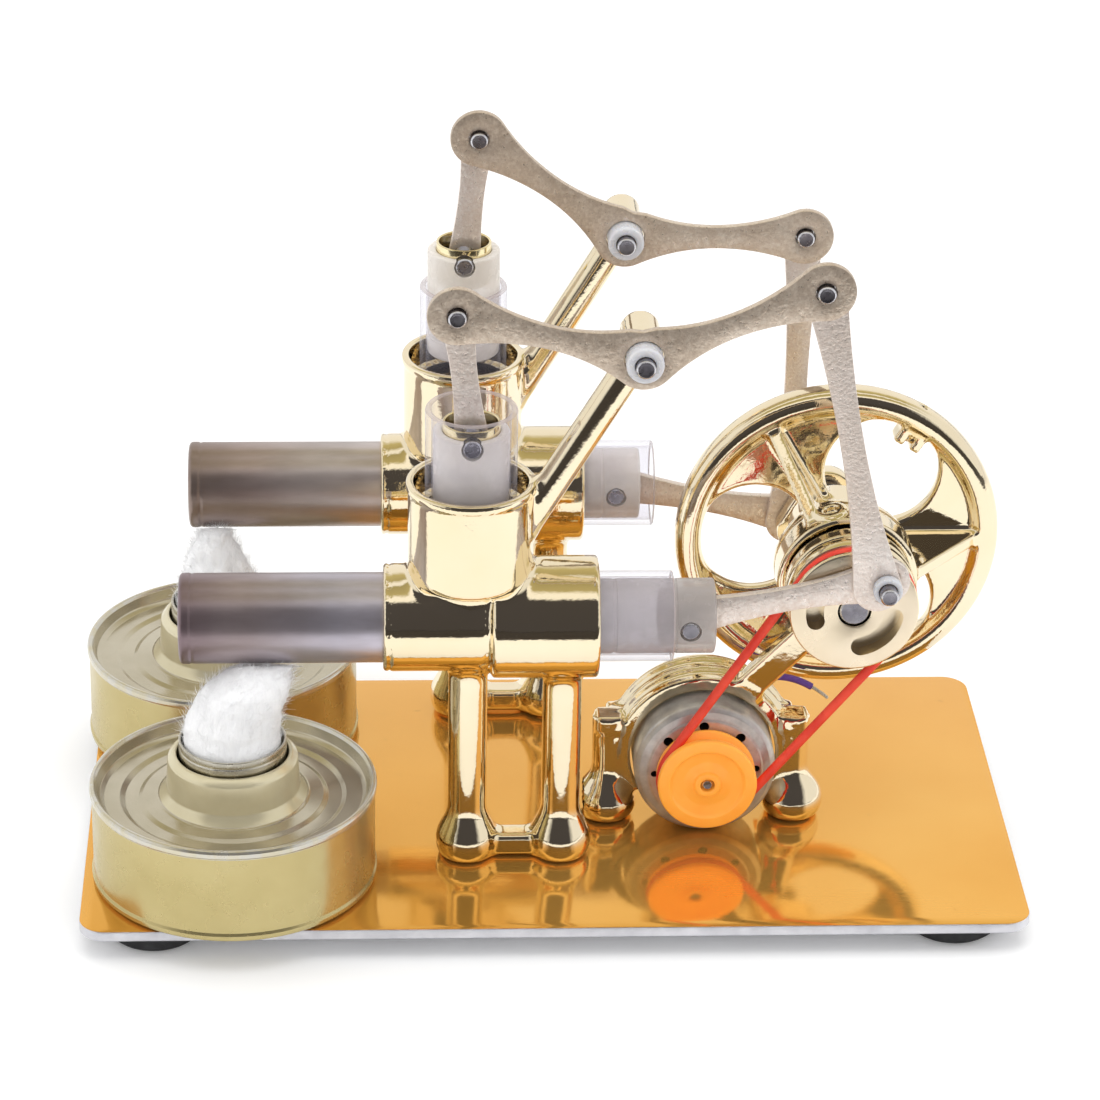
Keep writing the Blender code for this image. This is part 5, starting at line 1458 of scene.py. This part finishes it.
def make_wick(side, x, y):
    """A tuft of loose cotton, pulled up and over to one side."""
    stations = np.array(WICK_STATIONS[side], float)
    seed, tube_y = WICK_SEED[side], UNIT_Y[side] - y
    body, faces, unit = wick_body(stations, seed, tube_y)
    fibres, fibre_faces = wick_fibres(body, unit, stations, seed + 5, tube_y, len(body))
    centre = np.array([(ORIGIN[0] + x * MM, ORIGIN[1] + y * MM, ORIGIN[2])])
    verts = centre + np.vstack([body, fibres]) * MM
    piece(side + "_cotton", side + "_wick", verts, faces + fibre_faces, "cotton", sharp=0)


for side in SIDES:
    make_can(side, *BURNER[side])
    make_wick_sleeve(side, *BURNER[side])
    make_wick(side, *BURNER[side])


# ============================================================ stage, light, camera
def floor_material():
    """White paper that brightens with distance for the camera. In reflections it ends a
    hand's breadth in front of the object and the room beyond is dark."""
    s = new_shader("studio_floor")
    paper = s.ramp(s.noise(s.coords(), scale=3.0, detail=2.0),
                   zip(MIDDLE, ((0.93, 0.93, 0.93), (0.95, 0.95, 0.95))))
    position = s.add("NewGeometry").outputs["Position"]
    y = s.add("SeparateXYZ", {0: position}).outputs["Y"]
    rays = s.add("LightPath").outputs
    far = s.span(s.vector("LENGTH", position, output="Value"), (0.30, 0.90), (0.10, 0.60))
    beyond = s.span(y, (-0.186, -0.200), (0.0, 1.0))
    dark = s.math("MULTIPLY", beyond, rays["Is Glossy Ray"])
    s.set(roughness=0.6, emission_color=(1.0, 1.0, 1.0),
          emission_strength=s.math("MULTIPLY", far, rays["Is Camera Ray"]),
          base_color=s.mix(dark, paper, (0.03, 0.025, 0.025)))
    return s.owner


def make_floor():
    material = floor_material()
    mesh = bpy.data.meshes.new("floor")
    z = CAD_BOX[0][2] - 0.0003
    half = 3.0
    mesh.from_pydata([(-half, -half, z), (half, -half, z), (half, half, z), (-half, half, z)],
                     [], [(0, 1, 2, 3)])
    mesh.materials.append(material)
    link("floor", mesh)


# What reflections see going up and over from the camera's side: a dark room, a soft strip,
# a warm ceiling, a second strip and the pale backdrop. (half turns, brightness)
SKY = [(-0.12, 0.07), (0.0, 0.065), (0.315, 0.07), (0.335, 1.05), (0.385, 1.05), (0.42, 0.50),
       (0.53, 0.40), (0.55, 0.95), (0.585, 0.95), (0.62, 0.45), (0.70, 0.55), (0.78, 0.92),
       (1.0, 0.95)]


def sky_colour(v):
    if v < 0.3:
        return (v, v * 0.93, v)
    if v < 0.6:
        return (v, v * 0.87, v * 0.44)
    return (v, v * 0.985, v * 0.96)


def make_world():
    """White for the camera and diffuse light; reflections see SKY, with pale sides."""
    world = bpy.data.worlds.new("studio")
    bpy.context.scene.world = world
    s = Shader(world)
    s.tree.nodes.clear()
    output = s.add("OutputWorld")
    split = s.add("SeparateXYZ", {0: s.add("TexCoord").outputs["Generated"]}).outputs
    half_turns = s.math("DIVIDE", s.math("ARCTAN2", split["Z"],
                                         s.math("MULTIPLY", split["Y"], -1.0)), math.pi)
    low, reach = 0.12, 1.12     # SKY starts this far below level and spans this much
    over = s.ramp(s.math("DIVIDE", s.math("ADD", half_turns, low), reach),
                  [((p + low) / reach, sky_colour(v)) for p, v in SKY])
    sideways = s.span(s.math("ABSOLUTE", split["X"]), (0.58, 0.78), (0.0, 1.0))
    sky = s.mix(sideways, over, (0.88, 0.88, 0.88))
    rays = s.add("LightPath").outputs
    strength = s.span(rays["Is Camera Ray"], (0.0, 1.0), (0.78, 1.0))
    white = s.add("Background", {"Color": (1, 1, 1), "Strength": strength})
    reflected = s.add("Background", {"Color": sky, "Strength": 1.0})
    plain = s.math("MAXIMUM", rays["Is Camera Ray"], rays["Is Diffuse Ray"])
    mixed = s.add("MixShader", {"Fac": plain, 1: reflected.outputs[0], 2: white.outputs[0]})
    s.feed(output.inputs["Surface"], mixed.outputs[0])


def softbox(name, location, size, power):
    """Rectangular light aimed at the engine and left out of reflections."""
    light = bpy.data.lights.new(name, "AREA")
    light.shape = "RECTANGLE"
    light.size, light.size_y = size
    light.energy = power
    ob = link(name, light)
    ob.location = location
    aim = Vector((0.0, 0.0, 0.05)) - Vector(location)
    ob.rotation_euler = aim.to_track_quat("-Z", "Y").to_euler()
    ob.visible_glossy = False


def make_camera():
    camera = bpy.data.cameras.new("camera")
    ob = link("camera", camera)
    bpy.context.scene.camera = ob
    camera.sensor_width = 36.0
    camera.lens = 134.9891018
    camera.clip_start = 0.01
    camera.clip_end = 20
    heading, dip, roll = -0.0530784, 0.4662248, 0.0188025   # radians
    forward = Vector((-math.sin(heading) * math.cos(dip), math.cos(heading) * math.cos(dip),
                      -math.sin(dip)))
    right = forward.cross(Vector((0.0, 0.0, 1.0))).normalized()
    up = right.cross(forward)
    right, up = (right * math.cos(roll) + up * math.sin(roll),
                 up * math.cos(roll) - right * math.sin(roll))
    ob.location = (-0.0327771, -0.6296700, 0.3704082)
    ob.rotation_euler = Matrix((right, up, -forward)).transposed().to_euler()


make_floor()
make_world()
softbox("top_softbox", location=(0.0, 0.05, 0.75), size=(0.9, 0.7), power=2.6)
softbox("left_softbox", location=(-0.75, -0.15, 0.40), size=(0.5, 0.6), power=1.1)
softbox("right_softbox", location=(0.75, -0.10, 0.35), size=(0.45, 0.6), power=0.9)
softbox("front_fill", location=(0.05, -0.9, 0.45), size=(0.8, 0.4), power=1.2)
make_camera()

view = bpy.context.scene.view_settings
view.view_transform = "Standard"
view.look = "None"

bpy.context.view_layer.update()
